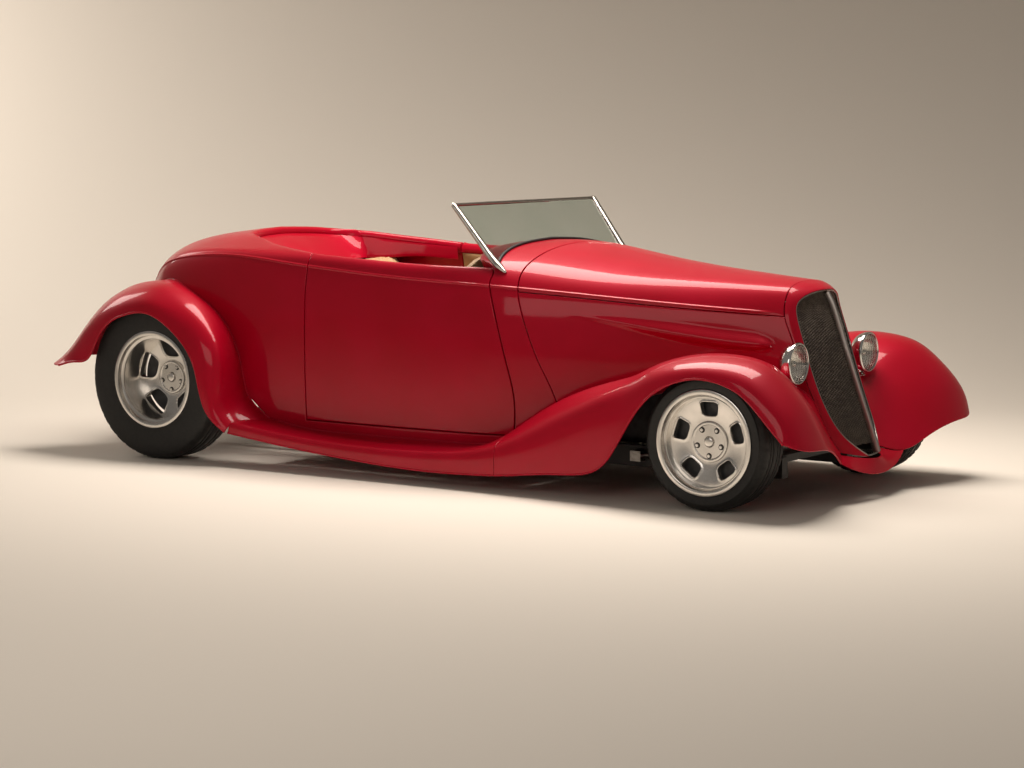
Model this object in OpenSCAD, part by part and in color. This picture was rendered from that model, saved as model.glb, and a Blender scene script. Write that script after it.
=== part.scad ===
// Full-fendered roadster hot rod, built as separate panels on a ladder frame.
// Lengths are millimetres. +X points forward, +Y to the car's left, +Z up.
// The origin is on the ground, half way along and across the whole car.

/* [Chassis] */
// Distance between the front and rear axles
wheelbase = 2845; // [2300:5:3500]
// Distance from the front axle to the fender tips
front_overhang = 485; // [400:5:600]
// Distance from the rear axle to the rear fender tips
rear_overhang = 618; // [520:5:760]
// Height of each frame rail
rail_h = 88; // [60:4:120]
// Width of each frame rail
rail_w = 50; // [40:5:70]
// Height of the frame rails' lower faces
rail_z = 92; // [85:1:160]

/* [Body] */
// Width of the body across the doors
body_w = 1320; // [1100:5:1600]
// Thickness of the doors and body sides
wall = 50; // [30:1:70]
// Thickness of the deck, cowl top and deck lid
deck_wall = 18; // [8:1:30]
// Thickness of the hood and the fenders
skin = 8; // [5:0.5:14]
// Gap around each door and lid
shut_gap = 7; // [5.5:0.5:12]
// Gap between fixed panels that are bolted together
seam = 1.5; // [0.8:0.1:3]

/* [Wheels] */
// Outer diameter of the front tyres
front_tyre_d = 560; // [470:5:600]
// Width of the front tyres
front_tyre_w = 190; // [150:5:230]
// Outer diameter of the rear tyres
rear_tyre_d = 730; // [610:5:760]
// Width of the rear tyres
rear_tyre_w = 210; // [180:5:225]
// Diameter across the lip of the front rims
front_rim_d = 432; // [360:2:470]
// Diameter across the lip of the rear rims
rear_rim_d = 442; // [370:2:530]
// Distance between the outer faces of the front tyres
front_track_w = 1582; // [1500:2:1640]
// Distance between the outer faces of the rear tyres
rear_track_w = 1664; // [1620:2:1700]

/* [Cockpit] */
// Width of the seat across both places
seat_w = 1080; // [900:5:1110]
// Thickness of the seat cushion
cushion_h = 130; // [90:5:170]
// Diameter of the steering wheel
steering_d = 350; // [300:5:400]
// Height of the windshield's top bar above the ground
shield_z = 1189; // [1120:1:1260]

/* [Hidden] */
$fn = 64;

// The size at which the outlines below were drawn, which stretch with the named sizes
drawn_wheelbase = 2845;
drawn_body_w = 1320;
drawn_front_overhang = 485;
drawn_rear_overhang = 618;

mid_x = (wheelbase + front_overhang - rear_overhang) / 2;
half_w = body_w / 2;
front_axle_z = front_tyre_d / 2;
rear_axle_z = rear_tyre_d / 2;
floor_z = rail_z + rail_h;
floor_t = 8;
rail_y = 300;
kick_z = 500;

// Clearances
run_fit = 0.05;
piece_gap = 0.3;
pin_r = shut_gap / 2 - 0.5;
lid_pin_len = 120;
door_pin_len = 70;

// The axle frame has x = 0 at the rear axle
module in_place() {
    translate([-mid_x, 0, 0]) children();
}
module both_sides() {
    children();
    mirror([0, 1, 0]) children();
}
module left_side() {
    children();
}
module right_side() {
    mirror([0, 1, 0]) children();
}

// Lengthwise and sideways stretch of a drawn point
function lx(x) = x <= 0 ? x * rear_overhang / drawn_rear_overhang
    : x >= drawn_wheelbase
        ? wheelbase + (x - drawn_wheelbase) * front_overhang / drawn_front_overhang
        : x * wheelbase / drawn_wheelbase;
function ly(y) = y * body_w / drawn_body_w;
function fy(y) = y <= drawn_body_w / 2 ? ly(y) : y - drawn_body_w / 2 + half_w;
function body_pt(p) = [lx(p[0]), ly(p[1]), p[2]];
function fender_pt(p) = [lx(p[0]), fy(p[1]), p[2]];

// A cubic spline through evenly numbered points: fit() finds its weights, at() reads it
function blend_of(a, b, c) = (a + 4 * b + c) / 6;
function fit(q, p, n) = n == 0 ? p : fit(q, [for (i = [0:len(q) - 1])
    i == 0 || i == len(q) - 1 ? q[i]
        : p[i] + 1.5 * (q[i] - blend_of(p[i - 1], p[i], p[i + 1]))], n - 1);
function padded(p) = concat([2 * p[0] - p[1]], p, [2 * p[len(p) - 1] - p[len(p) - 2]]);
function at(p, s) = let (n = len(p) - 1, k = max(0, min(floor(s), n - 1)), t = s - k,
    q = padded(p))
    (pow(1 - t, 3) * q[k] + (3 * pow(t, 3) - 6 * pow(t, 2) + 4) * q[k + 1]
        + (-3 * pow(t, 3) + 3 * pow(t, 2) + 3 * t + 1) * q[k + 2] + pow(t, 3) * q[k + 3]) / 6;
function turned(m) = [for (j = [0:len(m[0]) - 1]) [for (row = m) row[j]]];
function net(rows) = let (a = [for (r = rows) fit(r, r, 8)])
    [for (c = turned(a)) fit(c, c, 8)];
function on_net(w, u, v) = at([for (c = w) at(c, u)], v);

// Body sections from the tail to the grille. Each runs from the top centre line to the sill.
// Rows: 0 centre, 3 shoulder and cockpit rim, 4 belt line, 5-8 side, 9 sill.
body_sections = [
    [[-610, 0, 430], [-603, 130, 428], [-578, 240, 422], [-535, 312, 412], [-495, 362, 400],
        [-462, 398, 385], [-438, 420, 365], [-422, 432, 340], [-412, 438, 310], [-405, 440, 280]],
    [[-565, 0, 665], [-558, 120, 660], [-532, 225, 645], [-492, 310, 615], [-452, 365, 575],
        [-420, 405, 520], [-395, 430, 450], [-380, 442, 380], [-370, 448, 310], [-365, 448, 250]],
    [[-440, 0, 855], [-434, 140, 848], [-412, 265, 822], [-378, 360, 775], [-345, 420, 715],
        [-318, 462, 640], [-298, 488, 530], [-285, 498, 420], [-278, 500, 310], [-275, 498, 220]],
    [[-240, 0, 968], [-236, 150, 963], [-228, 305, 943], [-215, 435, 900], [-205, 510, 850],
        [-190, 552, 755], [-170, 565, 600], [-160, 568, 430], [-155, 565, 300], [-150, 560, 200]],
    [[0, 0, 1022], [0, 175, 1015], [0, 350, 995], [0, 500, 955], [0, 575, 913],
        [0, 614, 790], [0, 630, 600], [0, 632, 420], [0, 626, 280], [0, 618, 170]],
    [[290, 0, 1045], [290, 200, 1036], [290, 400, 1008], [290, 545, 968], [290, 612, 932],
        [290, 642, 800], [290, 652, 600], [290, 652, 420], [290, 646, 280], [290, 640, 170]],
    [[580, 0, 1040], [580, 205, 1030], [580, 410, 1006], [580, 575, 965], [580, 630, 914],
        [580, 652, 790], [580, 659, 600], [580, 656, 420], [580, 648, 280], [580, 640, 170]],
    [[870, 0, 1030], [870, 210, 1020], [870, 420, 998], [870, 592, 955], [870, 636, 892],
        [870, 655, 780], [870, 660, 600], [870, 657, 420], [870, 649, 280], [870, 640, 170]],
    [[1160, 0, 1020], [1160, 212, 1012], [1160, 425, 990], [1160, 595, 942], [1160, 636, 874],
        [1160, 654, 770], [1160, 660, 600], [1160, 657, 420], [1160, 649, 280], [1160, 640, 170]],
    [[1450, 0, 1012], [1450, 212, 1006], [1450, 420, 985], [1450, 583, 934], [1450, 623, 861],
        [1450, 643, 760], [1450, 651, 600], [1450, 650, 420], [1450, 642, 280], [1450, 632, 170]],
    [[1740, 0, 1026], [1740, 185, 1015], [1740, 370, 985], [1740, 520, 928], [1740, 585, 848],
        [1740, 612, 740], [1740, 621, 580], [1740, 618, 420], [1740, 606, 280], [1740, 595, 170]],
    [[2030, 0, 990], [2030, 155, 981], [2030, 308, 953], [2030, 435, 903], [2030, 505, 828],
        [2030, 530, 720], [2030, 540, 570], [2030, 535, 420], [2030, 521, 280], [2030, 506, 180]],
    [[2320, 0, 948], [2320, 122, 942], [2320, 245, 923], [2320, 352, 885], [2320, 420, 806],
        [2320, 442, 700], [2320, 450, 560], [2320, 445, 420], [2320, 430, 280], [2320, 415, 190]],
    [[2610, 0, 919], [2610, 96, 915], [2610, 192, 902], [2610, 276, 870], [2610, 334, 786],
        [2610, 352, 690], [2610, 358, 560], [2610, 353, 430], [2610, 340, 300], [2610, 324, 200]],
    [[2905, 0, 896], [2905, 66, 893], [2905, 132, 882], [2905, 192, 850], [2910, 229, 768],
        [2945, 236, 680], [2995, 235, 550], [3050, 228, 420], [3105, 209, 290], [3150, 172, 200]]];
body_net = net([for (s = body_sections) [for (p = s) body_pt(p)]]);
bay = 290;
first_even = 4;
last_section = len(body_sections) - 1;
sill_row = 9;

// Section number at a drawn x, where the sections stand square and evenly spaced
function sec(x) = first_even + x / bay;
function body_at(u, v) = let (p = on_net(body_net, u, abs(v))) v < 0 ? [p[0], -p[1], p[2]] : p;
function unit(a) = a / norm(a);
function body_normal(u, v) = let (e = 0.02,
    a = body_at(min(u + e, last_section), v) - body_at(max(u - e, 0), v),
    b = body_at(u, v + e) - body_at(u, v - e))
    unit(cross(a, b));
function body_in(u, v, t) = body_at(u, v) - t * body_normal(u, v);
function side_t(v) = let (a = abs(v))
    a < 2 ? deck_wall : a > 3.2 ? wall : deck_wall + (wall - deck_wall) * (a - 2) / 1.2;

// A closed shell over a grid of outer and inner points; keep(i, j) says which cells are solid
function quad(a, b, c, d) = [[a, b, c], [a, c, d]];
module shell(outer, inner, keep) {
    n = len(outer);
    m = len(outer[0]);
    base = n * m;
    function solid(i, j) = i < 0 || j < 0 || i >= n - 1 || j >= m - 1 ? false : keep(i, j);
    function id(i, j) = i * m + j;
    points = concat([for (r = outer) each r], [for (r = inner) each r]);
    faces = [for (i = [0:n - 2]) for (j = [0:m - 2]) if (solid(i, j)) each concat(
        quad(id(i, j), id(i, j + 1), id(i + 1, j + 1), id(i + 1, j)),
        quad(base + id(i, j), base + id(i + 1, j), base + id(i + 1, j + 1), base + id(i, j + 1)),
        solid(i, j - 1) ? [] : quad(id(i, j), id(i + 1, j), base + id(i + 1, j), base + id(i, j)),
        solid(i, j + 1) ? [] : quad(id(i + 1, j + 1), id(i, j + 1), base + id(i, j + 1),
            base + id(i + 1, j + 1)),
        solid(i - 1, j) ? [] : quad(id(i, j + 1), id(i, j), base + id(i, j), base + id(i, j + 1)),
        solid(i + 1, j) ? [] : quad(id(i + 1, j), id(i + 1, j + 1), base + id(i + 1, j + 1),
            base + id(i + 1, j)))];
    polyhedron(points, faces, convexity = 10);
}

// Shut lines. Each gives a section number or a row.
lid_front = sec(-20);
lid_rear = 0.7;
door_rear = sec(740);
door_bottom = 8.6;
hood_break = 4.2;
cockpit_back = function(v) sec(lookup(abs(v), [[0, 120], [0.65, 126], [1.3, 160], [1.7, 206],
    [1.95, 280], [9, 280]]));
door_front = function(v) sec(lookup(abs(v), [[0, 1500], [1, 1506], [2, 1530], [2.5, 1570],
    [3, 1663], [4, 1688], [5, 1726], [6, 1772], [7, 1812], [9, 1808]]));
hood_rear = function(v) sec(lookup(abs(v), [[0, 1797], [3, 1797], [4, 1807], [5, 1845],
    [6, 1905], [7, 1975], [8, 2020], [9, 2045]]));
function lid_edge(u) = lookup(u, [[0, 1.7], [0.7, 1.7], [3.9, 1.55], [4.4, 1.3], [5, 1.3],
    [6.5, 2], [14, 2]]);
function rim_row(u) = lookup(u, [[0, 3], [2, 2.8], [3.9, 2.3], [4.95, 1.95], [5.55, 2.45],
    [6.3, 2.85], [6.8, 3], [14, 3]]);
// Rows where the rear and front fenders meet the body
function near_wheel(u, v) = let (p = body_at(u, v))
    norm([p[0], p[2] - rear_axle_z]) < rear_tyre_d / 2 + wheel_room;
function wheel_row(u) = min([for (v = [4:0.1:sill_row]) near_wheel(u, v) ? v - 0.1 : sill_row]);
function rear_join(u) = min(wheel_row(u), drawn_join(u));
wheel_room = 22;
function drawn_join(u) = lookup(u, [[0, 5], [1.1, 5], [1.9, 4.6], [2.75, 4.85], [3.5, 4.8],
    [4.2, 5.15], [4.86, 6], [5.17, 6.85], [5.41, 7.8], [5.83, 8.65], [6.2, 9], [14, 9]]);
function front_join(u) = lookup(u, [[0, 9], [10, 9], [10.75, 8.3], [11.2, 7.65], [11.6, 7.35],
    [12.25, 7], [12.75, 6.85], [13, 6.7], [13.5, 6.6], [13.8, 6.8], [14, 7.2]]);
flange = 0;

// The tub's grid: key lines lengthwise, with even cells between them
tub_steps = [3, 9, 3, 8, 8, 2];
tub_keys = [function(v) 0, function(v) lid_rear, function(v) lid_front, cockpit_back,
    function(v) door_rear, door_front, hood_rear];
tub_cells = [for (k = [0:len(tub_steps) - 1]) for (s = [0:tub_steps[k] - 1])
    [k, s / tub_steps[k]]];
tub_lines = concat(tub_cells, [[len(tub_steps) - 1, 1]]);
function tub_u(line, v) = tub_keys[line[0]](v) * (1 - line[1]) + tub_keys[line[0] + 1](v) * line[1];
function tub_bottom(u) = min(sill_row, rear_join(u) + flange);
tub_cols = 13;
side_steps = 6;
function tub_row(j, u) = let (edge = lid_edge(u), rim = rim_row(u), low = tub_bottom(u),
    sill = min(door_bottom, low - 0.1))
    j < 3 ? edge * j / 2 : j == 3 ? (edge + rim) / 2 : j == 4 ? rim : j == 5 ? (rim + 4) / 2
        : j < tub_cols ? 4 + (sill - 4) * (j - 6) / side_steps : low;
function tub_uv(line, j) = let (guess = tub_u(line, abs(j) > 5 ? 4 + (abs(j) - 6) * 0.77 : 0),
    v = tub_row(abs(j), guess), u = tub_u(line, v), v2 = tub_row(abs(j), u))
    [u, j < 0 ? -v2 : v2];

module body_tub() color("crimson") in_place() {
    grid = [for (line = tub_lines) [for (j = [-tub_cols:tub_cols]) tub_uv(line, j)]];
    key = [for (c = tub_cells) c[0]];
    keep = function(i, j) let (a = j < tub_cols ? tub_cols - 1 - j : j - tub_cols)
        !(key[i] == 1 && a < 2) && !((key[i] == 3 || key[i] == 4) && a < 4)
        && !(key[i] == 4 && a >= 4 && a < tub_cols - 1);
    shell([for (r = grid) [for (g = r) body_at(g[0], g[1])]],
        [for (r = grid) [for (g = r) body_in(g[0], g[1], side_t(g[1]))]], keep);
    // Hinge pins of the doors, deck lid and hood; the doors' stand on lugs on the jamb
    both_sides() for (z = door_pin_heights) {
        translate([door_axis_x, door_axis_y, z - door_pin_len / 2])
            cylinder(r = pin_r, h = door_pin_len);
        box([door_axis_x - shut_gap / 2 + piece_gap, door_axis_y - 40, z - 12],
            [door_axis_x, door_axis_y, z + 12]);
    }
    for (a = [lid_axis, hood_axis])
        translate(a + [0, lid_pin_len / 2, 0]) rotate([90, 0, 0])
            cylinder(r = pin_r, h = lid_pin_len);
}
gap_u = shut_gap / bay;
seam_u = seam / bay;
door_axis_x = body_at(door_rear, 6)[0] + shut_gap / 2;
door_axis_y = body_at(door_rear, 6)[1] + 0.3;
door_pin_heights = [400, 640];
lid_axis = body_at(lid_front, 0) + [-shut_gap / 2, 0, 1];
hood_axis = body_at(hood_rear(0), 0) + [shut_gap / 2, 0, 1];

function steps(a, b, n) = [for (k = [0:n]) a + (b - a) * k / n];

// The door's rows match the tub's, so that their facets run parallel
door_cells = tub_steps[4];
door_rows = concat([3, 3.5], steps(4, door_bottom, side_steps));
function door_uv(rows, cols) = [for (s = cols) [for (v = rows)
    let (w = min(v, door_bottom - door_gap_row)) [(door_rear + gap_u) * (1 - s)
        + (door_front(w) - gap_u) * s, w]]];
door_gap_row = 0.065;

module door() {
    uv = door_uv(door_rows, steps(0, 1, door_cells));
    always = function(i, j) true;
    shell([for (r = uv) [for (g = r) body_at(g[0], g[1])]],
        [for (r = uv) [for (g = r) body_in(g[0], g[1], wall)]], always);
}
module door_left() color("crimson") in_place() left_side() door();
module door_right() color("crimson") in_place() right_side() door();

trim_t = 10;
module door_trim() {
    uv = door_uv([for (k = [1:side_steps]) door_rows[k]], steps(0, 1, door_cells));
    always = function(i, j) true;
    shell([for (r = uv) [for (g = r) body_in(g[0], g[1], wall + piece_gap)]],
        [for (r = uv) [for (g = r) body_in(g[0], g[1], wall + piece_gap + trim_t)]], always);
}
module door_trim_left() color("burlywood") in_place() left_side() door_trim();
module door_trim_right() color("burlywood") in_place() right_side() door_trim();

lid_gap_row = 0.045;
module deck_lid() color("crimson") in_place() {
    cols = steps(lid_rear + 1.2 * gap_u, lid_front - gap_u, tub_steps[1]);
    always = function(i, j) true;
    uv = [for (u = cols) [for (s = steps(-1, 1, 4)) [u, s * (lid_edge(u) - lid_gap_row)]]];
    shell([for (r = uv) [for (g = r) body_at(g[0], g[1])]],
        [for (r = uv) [for (g = r) body_in(g[0], g[1], deck_wall)]], always);
}

module hood_top() color("crimson") in_place() {
    cols = steps(0, 1, 9);
    rows = steps(-(hood_break - 0.09), hood_break - 0.09, 12);
    always = function(i, j) true;
    uv = [for (s = cols) [for (v = rows) [(hood_rear(v) + gap_u) * (1 - s)
        + (last_section - 1.3 * gap_u) * s, v]]];
    shell([for (r = uv) [for (g = r) body_at(g[0], g[1])]],
        [for (r = uv) [for (g = r) body_in(g[0], g[1], skin)]], always);
}

module hood_side() {
    cols = steps(0, 1, 16);
    always = function(i, j) true;
    uv = [for (s = cols) [for (t = steps(0, 1, side_steps))
        let (rough = hood_rear(7) * (1 - s) + last_section * s,
            low = min(door_bottom, front_join(rough) + 0.05),
            v = hood_break + (low - hood_break) * t)
        [(hood_rear(v) + 2 * seam_u) * (1 - s) + (last_section - seam_u) * s, v]]];
    shell([for (r = uv) [for (g = r) body_at(g[0], g[1])]],
        [for (r = uv) [for (g = r) body_in(g[0], g[1], skin)]], always);
}
module hood_sides() color("crimson") in_place() both_sides() hood_side();

// The grille opening's edge, from the top centre down the side to the bottom point
grille_edge = [for (p = [[2985, 0, 862], [2979, 60, 860], [2966, 120, 850], [2952, 175, 826],
    [2950, 205, 775], [2985, 212, 665], [3030, 212, 532], [3082, 202, 400], [3150, 162, 272],
    [3222, 58, 178]]) body_pt(p)];
// The V-shaped grille's centre bar, in step with the rows above
grille_nose = [for (p = [[2980, 0, 842], [2983, 0, 838], [2989, 0, 828], [3002, 0, 806],
    [3022, 0, 758], [3059, 0, 655], [3105, 0, 528], [3153, 0, 397], [3197, 0, 280],
    [3232, 0, 184]]) body_pt(p)];
edge_net = fit(grille_edge, grille_edge, 8);
nose_net = fit(grille_nose, grille_nose, 8);
function flip(p) = [p[0], -p[1], p[2]];
function edge_at(v) = v < 0 ? flip(at(edge_net, -v)) : at(edge_net, v);
shell_in = 8;
lip_w = 7;
function opening_at(v) = let (n = body_normal(last_section, v))
    edge_at(v) - [shell_in, lip_w * n[1], lip_w * n[2]];

module grille_shell() color("crimson") in_place() {
    rows = steps(-sill_row, sill_row, 36);
    always = function(i, j) true;
    back = [for (v = rows) body_at(last_section, v)];
    front = [for (v = rows) edge_at(v)];
    inward = [for (v = rows) body_in(last_section, v, shell_in)];
    rim_in = [for (v = rows) opening_at(v)];
    middle = [for (i = [0:len(rows) - 1]) (back[i] + front[i]) / 2
        + 4 * body_normal(last_section, rows[i])];
    shell([back, middle, front], [inward, (inward + rim_in) / 2, rim_in], always);
}

// The V-shaped grille: each slat row runs from the edge to the centre bar
grille_t = 12;
module grille() color("dimgray") in_place() {
    rows = steps(0.35, sill_row - 0.5, 16);
    across = steps(-1, 1, 4);
    always = function(i, j) true;
    slat = function(v, s) let (e = opening_at(v) - [0, piece_gap, 0], n = at(nose_net, v),
        side = [e[0], s < 0 ? -e[1] : e[1], e[2]])
        side * abs(s) + n * (1 - abs(s));
    shell([for (v = rows) [for (s = across) slat(v, s)]],
        [for (v = rows) [for (s = across) slat(v, s) - [grille_t, 0, 0]]], always);
}

// Front fender and running board: rows run from the body out to the lower lip
// Rows: 0 at the body, 3 crown, 5 outer face, 6 lip. The first column is where it joins the body.
board_sections = [
    [[400, 655, 228], [400, 690, 224], [400, 725, 220], [400, 760, 217], [400, 797, 213],
        [400, 826, 200], [400, 828, 157]],
    [[750, 650, 176], [750, 688, 176], [750, 724, 175], [750, 760, 174], [750, 798, 171],
        [750, 826, 159], [750, 828, 117]],
    [[1100, 648, 158], [1100, 686, 157], [1100, 722, 156], [1100, 760, 154], [1100, 798, 150],
        [1100, 826, 138], [1100, 828, 86]],
    [[1450, 640, 160], [1450, 680, 159], [1450, 718, 157], [1450, 756, 154], [1450, 796, 149],
        [1450, 826, 136], [1450, 828, 67]],
    [[1750, 600, 182], [1750, 650, 184], [1750, 692, 186], [1750, 738, 186], [1750, 788, 178],
        [1750, 826, 158], [1750, 828, 70]],
    [[1950, 555, 268], [1950, 610, 283], [1950, 660, 298], [1950, 712, 298], [1950, 776, 262],
        [1950, 826, 206], [1950, 828, 83]],
    [[2150, 497, 372], [2150, 565, 390], [2150, 632, 412], [2150, 702, 412], [2150, 777, 362],
        [2150, 826, 280], [2150, 828, 104]],
    [[2345, 446, 422], [2345, 520, 440], [2345, 602, 470], [2347, 692, 485], [2350, 772, 450],
        [2350, 828, 372], [2352, 830, 132]],
    [[2480, 402, 446], [2480, 480, 467], [2480, 572, 505], [2480, 672, 528], [2485, 762, 510],
        [2484, 826, 440], [2474, 838, 262]],
    [[2610, 357, 468], [2605, 450, 502], [2605, 562, 558], [2605, 675, 585], [2605, 765, 570],
        [2604, 828, 522], [2600, 847, 437]],
    [[2750, 312, 482], [2750, 420, 527], [2750, 545, 596], [2750, 672, 623], [2752, 770, 608],
        [2756, 834, 570], [2760, 852, 529]],
    [[2880, 275, 480], [2885, 390, 524], [2890, 530, 600], [2895, 670, 631], [2898, 775, 614],
        [2900, 838, 578], [2900, 854, 541]],
    [[2965, 258, 455], [2985, 370, 488], [3010, 512, 572], [3035, 660, 608], [3041, 770, 592],
        [3041, 838, 550], [3040, 856, 496]],
    [[3030, 258, 400], [3062, 360, 424], [3102, 500, 500], [3138, 650, 545], [3148, 765, 526],
        [3148, 838, 476], [3146, 858, 403]],
    [[3105, 235, 300], [3142, 340, 318], [3194, 482, 385], [3238, 640, 428], [3248, 755, 420],
        [3243, 830, 382], [3222, 858, 327]],
    [[3190, 190, 135], [3222, 300, 172], [3270, 450, 225], [3306, 610, 266], [3308, 740, 275],
        [3280, 822, 289], [3240, 856, 306]]];
board_join = [5.45, 6.59, 7.8, 9, 10.03, 10.72, 11.41, 12.08, 12.55, 13, 13.5, 13.8, 13.93, 14, 14, 14];
board_join_row = [8.4, 8.94, 9, 9, 8.9, 8.3, 7.45, 7.02, 6.85, 6.7, 6.6, 6.6, 6.75, 7.2, 8, 9];

// Points where a fender's first row lies on the body, stood off by the seam and a little more
beading = 0.4;
function on_body(u, v) = body_at(u, v) + (seam + beading) * body_normal(u, v);
function joined(sections, us, vs) = [for (i = [0:len(sections) - 1])
    concat([on_body(us[i], vs[i])], [for (j = [1:len(sections[i]) - 1])
        fender_pt(sections[i][j])])];
board_net = net(joined(board_sections, board_join, board_join_row));
board_split = 4.55;
last_board = len(board_sections) - 1;

// A fender panel on a net, skin thick on its inside. way is -1 for sections that run rearward.
function fender_in(w, u, v, way) = let (e = 0.03, last = len(w[0]) - 1,
    a = on_net(w, min(u + e, last), v) - on_net(w, max(u - e, 0), v),
    b = on_net(w, u, min(v + e, 6)) - on_net(w, u, max(v - e, 0)))
    on_net(w, u, v) + way * skin * unit(cross(b, a));
module fender_panel(w, uv, way) {
    always = function(i, j) true;
    shell([for (r = uv) [for (g = r) on_net(w, g[0], g[1])]],
        [for (r = uv) [for (g = r) fender_in(w, g[0], g[1], way)]], always);
}
function square_uv(us, vs) = [for (u = us) [for (v = vs) [u, v]]];
fender_rows = [0, 0.7, 1.4, 2.1, 2.8, 3.5, 4.1, 4.6, 5, 5.4, 6];
module front_fender() {
    fender_panel(board_net, square_uv(steps(board_split, last_board, 34), fender_rows), 1);
}
// The board's rear end follows the foot of the rear fender, found by repetition
foot_gap = 10;
function board_cut(v, u, n) = n == 0 ? u : board_cut(v, u
    + (on_net(rear_net, 0, v)[0] + foot_gap - on_net(board_net, u, v)[0]) / 350, n - 1);
module running_board() {
    fender_panel(board_net, [for (s = steps(0, 1, 12)) [for (v = fender_rows)
        [board_cut(v, 0.3, 5) * (1 - s) + (board_split - seam_u) * s, v]]], 1);
}
module front_fender_left() color("crimson") in_place() left_side() front_fender();
module front_fender_right() color("crimson") in_place() right_side() front_fender();
module running_board_left() color("crimson") in_place() left_side() running_board();
module running_board_right() color("crimson") in_place() right_side() running_board();

// Rear fender: sections fan from its foot on the running board, over the wheel, to its tail
rear_sections = [
    [[540, 662, 204], [515, 700, 202], [492, 735, 202], [470, 770, 200], [455, 805, 196],
        [446, 832, 180], [436, 846, 158]],
    [[410, 657, 310], [414, 705, 305], [412, 750, 298], [406, 790, 290], [394, 828, 282],
        [370, 858, 272], [338, 868, 258]],
    [[372, 652, 460], [388, 705, 460], [392, 750, 462], [393, 790, 461], [382, 828, 455],
        [344, 860, 442], [288, 872, 424]],
    [[280, 645, 640], [288, 700, 650], [290, 745, 650], [290, 787, 644], [281, 826, 630],
        [247, 859, 598], [205, 873, 555]],
    [[60, 630, 765], [70, 685, 777], [70, 735, 775], [69, 782, 762], [63, 822, 738],
        [55, 856, 704], [50, 872, 658]],
    [[-110, 600, 806], [-108, 662, 802], [-108, 722, 790], [-107, 775, 770], [-106, 820, 744],
        [-103, 856, 708], [-100, 872, 664]],
    [[-255, 545, 770], [-268, 620, 770], [-278, 692, 756], [-284, 757, 729], [-284, 812, 690],
        [-273, 856, 640], [-255, 872, 588]],
    [[-350, 480, 690], [-378, 570, 692], [-402, 657, 672], [-418, 737, 634], [-420, 802, 586],
        [-396, 853, 530], [-345, 870, 452]],
    [[-425, 430, 560], [-467, 532, 568], [-507, 636, 552], [-522, 727, 520], [-518, 797, 482],
        [-490, 846, 448], [-440, 868, 426]],
    [[-465, 400, 420], [-522, 512, 430], [-580, 627, 430], [-610, 717, 420], [-612, 790, 410],
        [-585, 842, 404], [-535, 866, 404]]];
rear_join_u = [5.86, 5.45, 5.3, 4.95, 4.2, 3.62, 2.75, 1.9, 1.1, 0.4];
rear_net = net(joined(rear_sections, rear_join_u, [for (u = rear_join_u) rear_join(u)]));
module rear_fender() {
    fender_panel(rear_net, square_uv(steps(len(rear_sections) - 1, 0, 36), fender_rows), -1);
}
module rear_fender_left() color("crimson") in_place() left_side() rear_fender();
module rear_fender_right() color("crimson") in_place() right_side() rear_fender();

// The apron closes the gap between the fenders below the grille
module front_apron() color("crimson") in_place() {
    cols = steps(-1, 1, 8);
    rows = steps(0, 1, 3);
    always = function(i, j) true;
    pan = function(s, t) let (side = on_net(board_net, last_board, 0.95 * t)
            - [0, 2 * seam, 6 * (1 - t) + 2],
        mid = [lx(3236) * (1 - t) + lx(3256) * t, 0, 168 * (1 - t) + 104 * t],
        a = abs(s), k = a * a)
        [mid[0] * (1 - k) + side[0] * k, side[1] * s, mid[2] * (1 - k) + side[2] * k];
    shell([for (t = rows) [for (s = cols) pan(s, t)]],
        [for (t = rows) [for (s = cols) pan(s, t) - [skin, 0, 0]]], always);
}

// Round headlamps beside the grille, each a bucket on a post
lamp_r = 88;
lamp_x = 3022;
lamp_y = 327;
lamp_z = 573;
module headlamp() {
    translate([lx(lamp_x), lamp_y, lamp_z]) {
        rotate([0, 90, 0]) rotate_extrude() polygon([[0, -70], [26, -68], [50, -60],
            [70, -44], [81, -25], [lamp_r - 1, -8], [lamp_r, 6], [68, 16], [38, 22], [0, 25]]);
        translate([-40, 0, lamp_post_z - lamp_z]) cylinder(r = 14, h = lamp_z - lamp_post_z - 60);
    }
}
// The post stands on the fender's valley
lamp_post_z = on_net(board_net, 12.1, 0.75)[2] + 12;
module headlamps() color("silver") in_place() both_sides() headlamp();

// A plate across the car, drawn as (x, z) points and thick along Y about the given middle
module plate_xz(points, t) {
    translate([0, t / 2, 0]) rotate([90, 0, 0]) linear_extrude(t) polygon(points);
}
// A box from its lowest corner to its highest
module box(a, b) {
    translate(a) cube(b - a);
}

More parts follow.
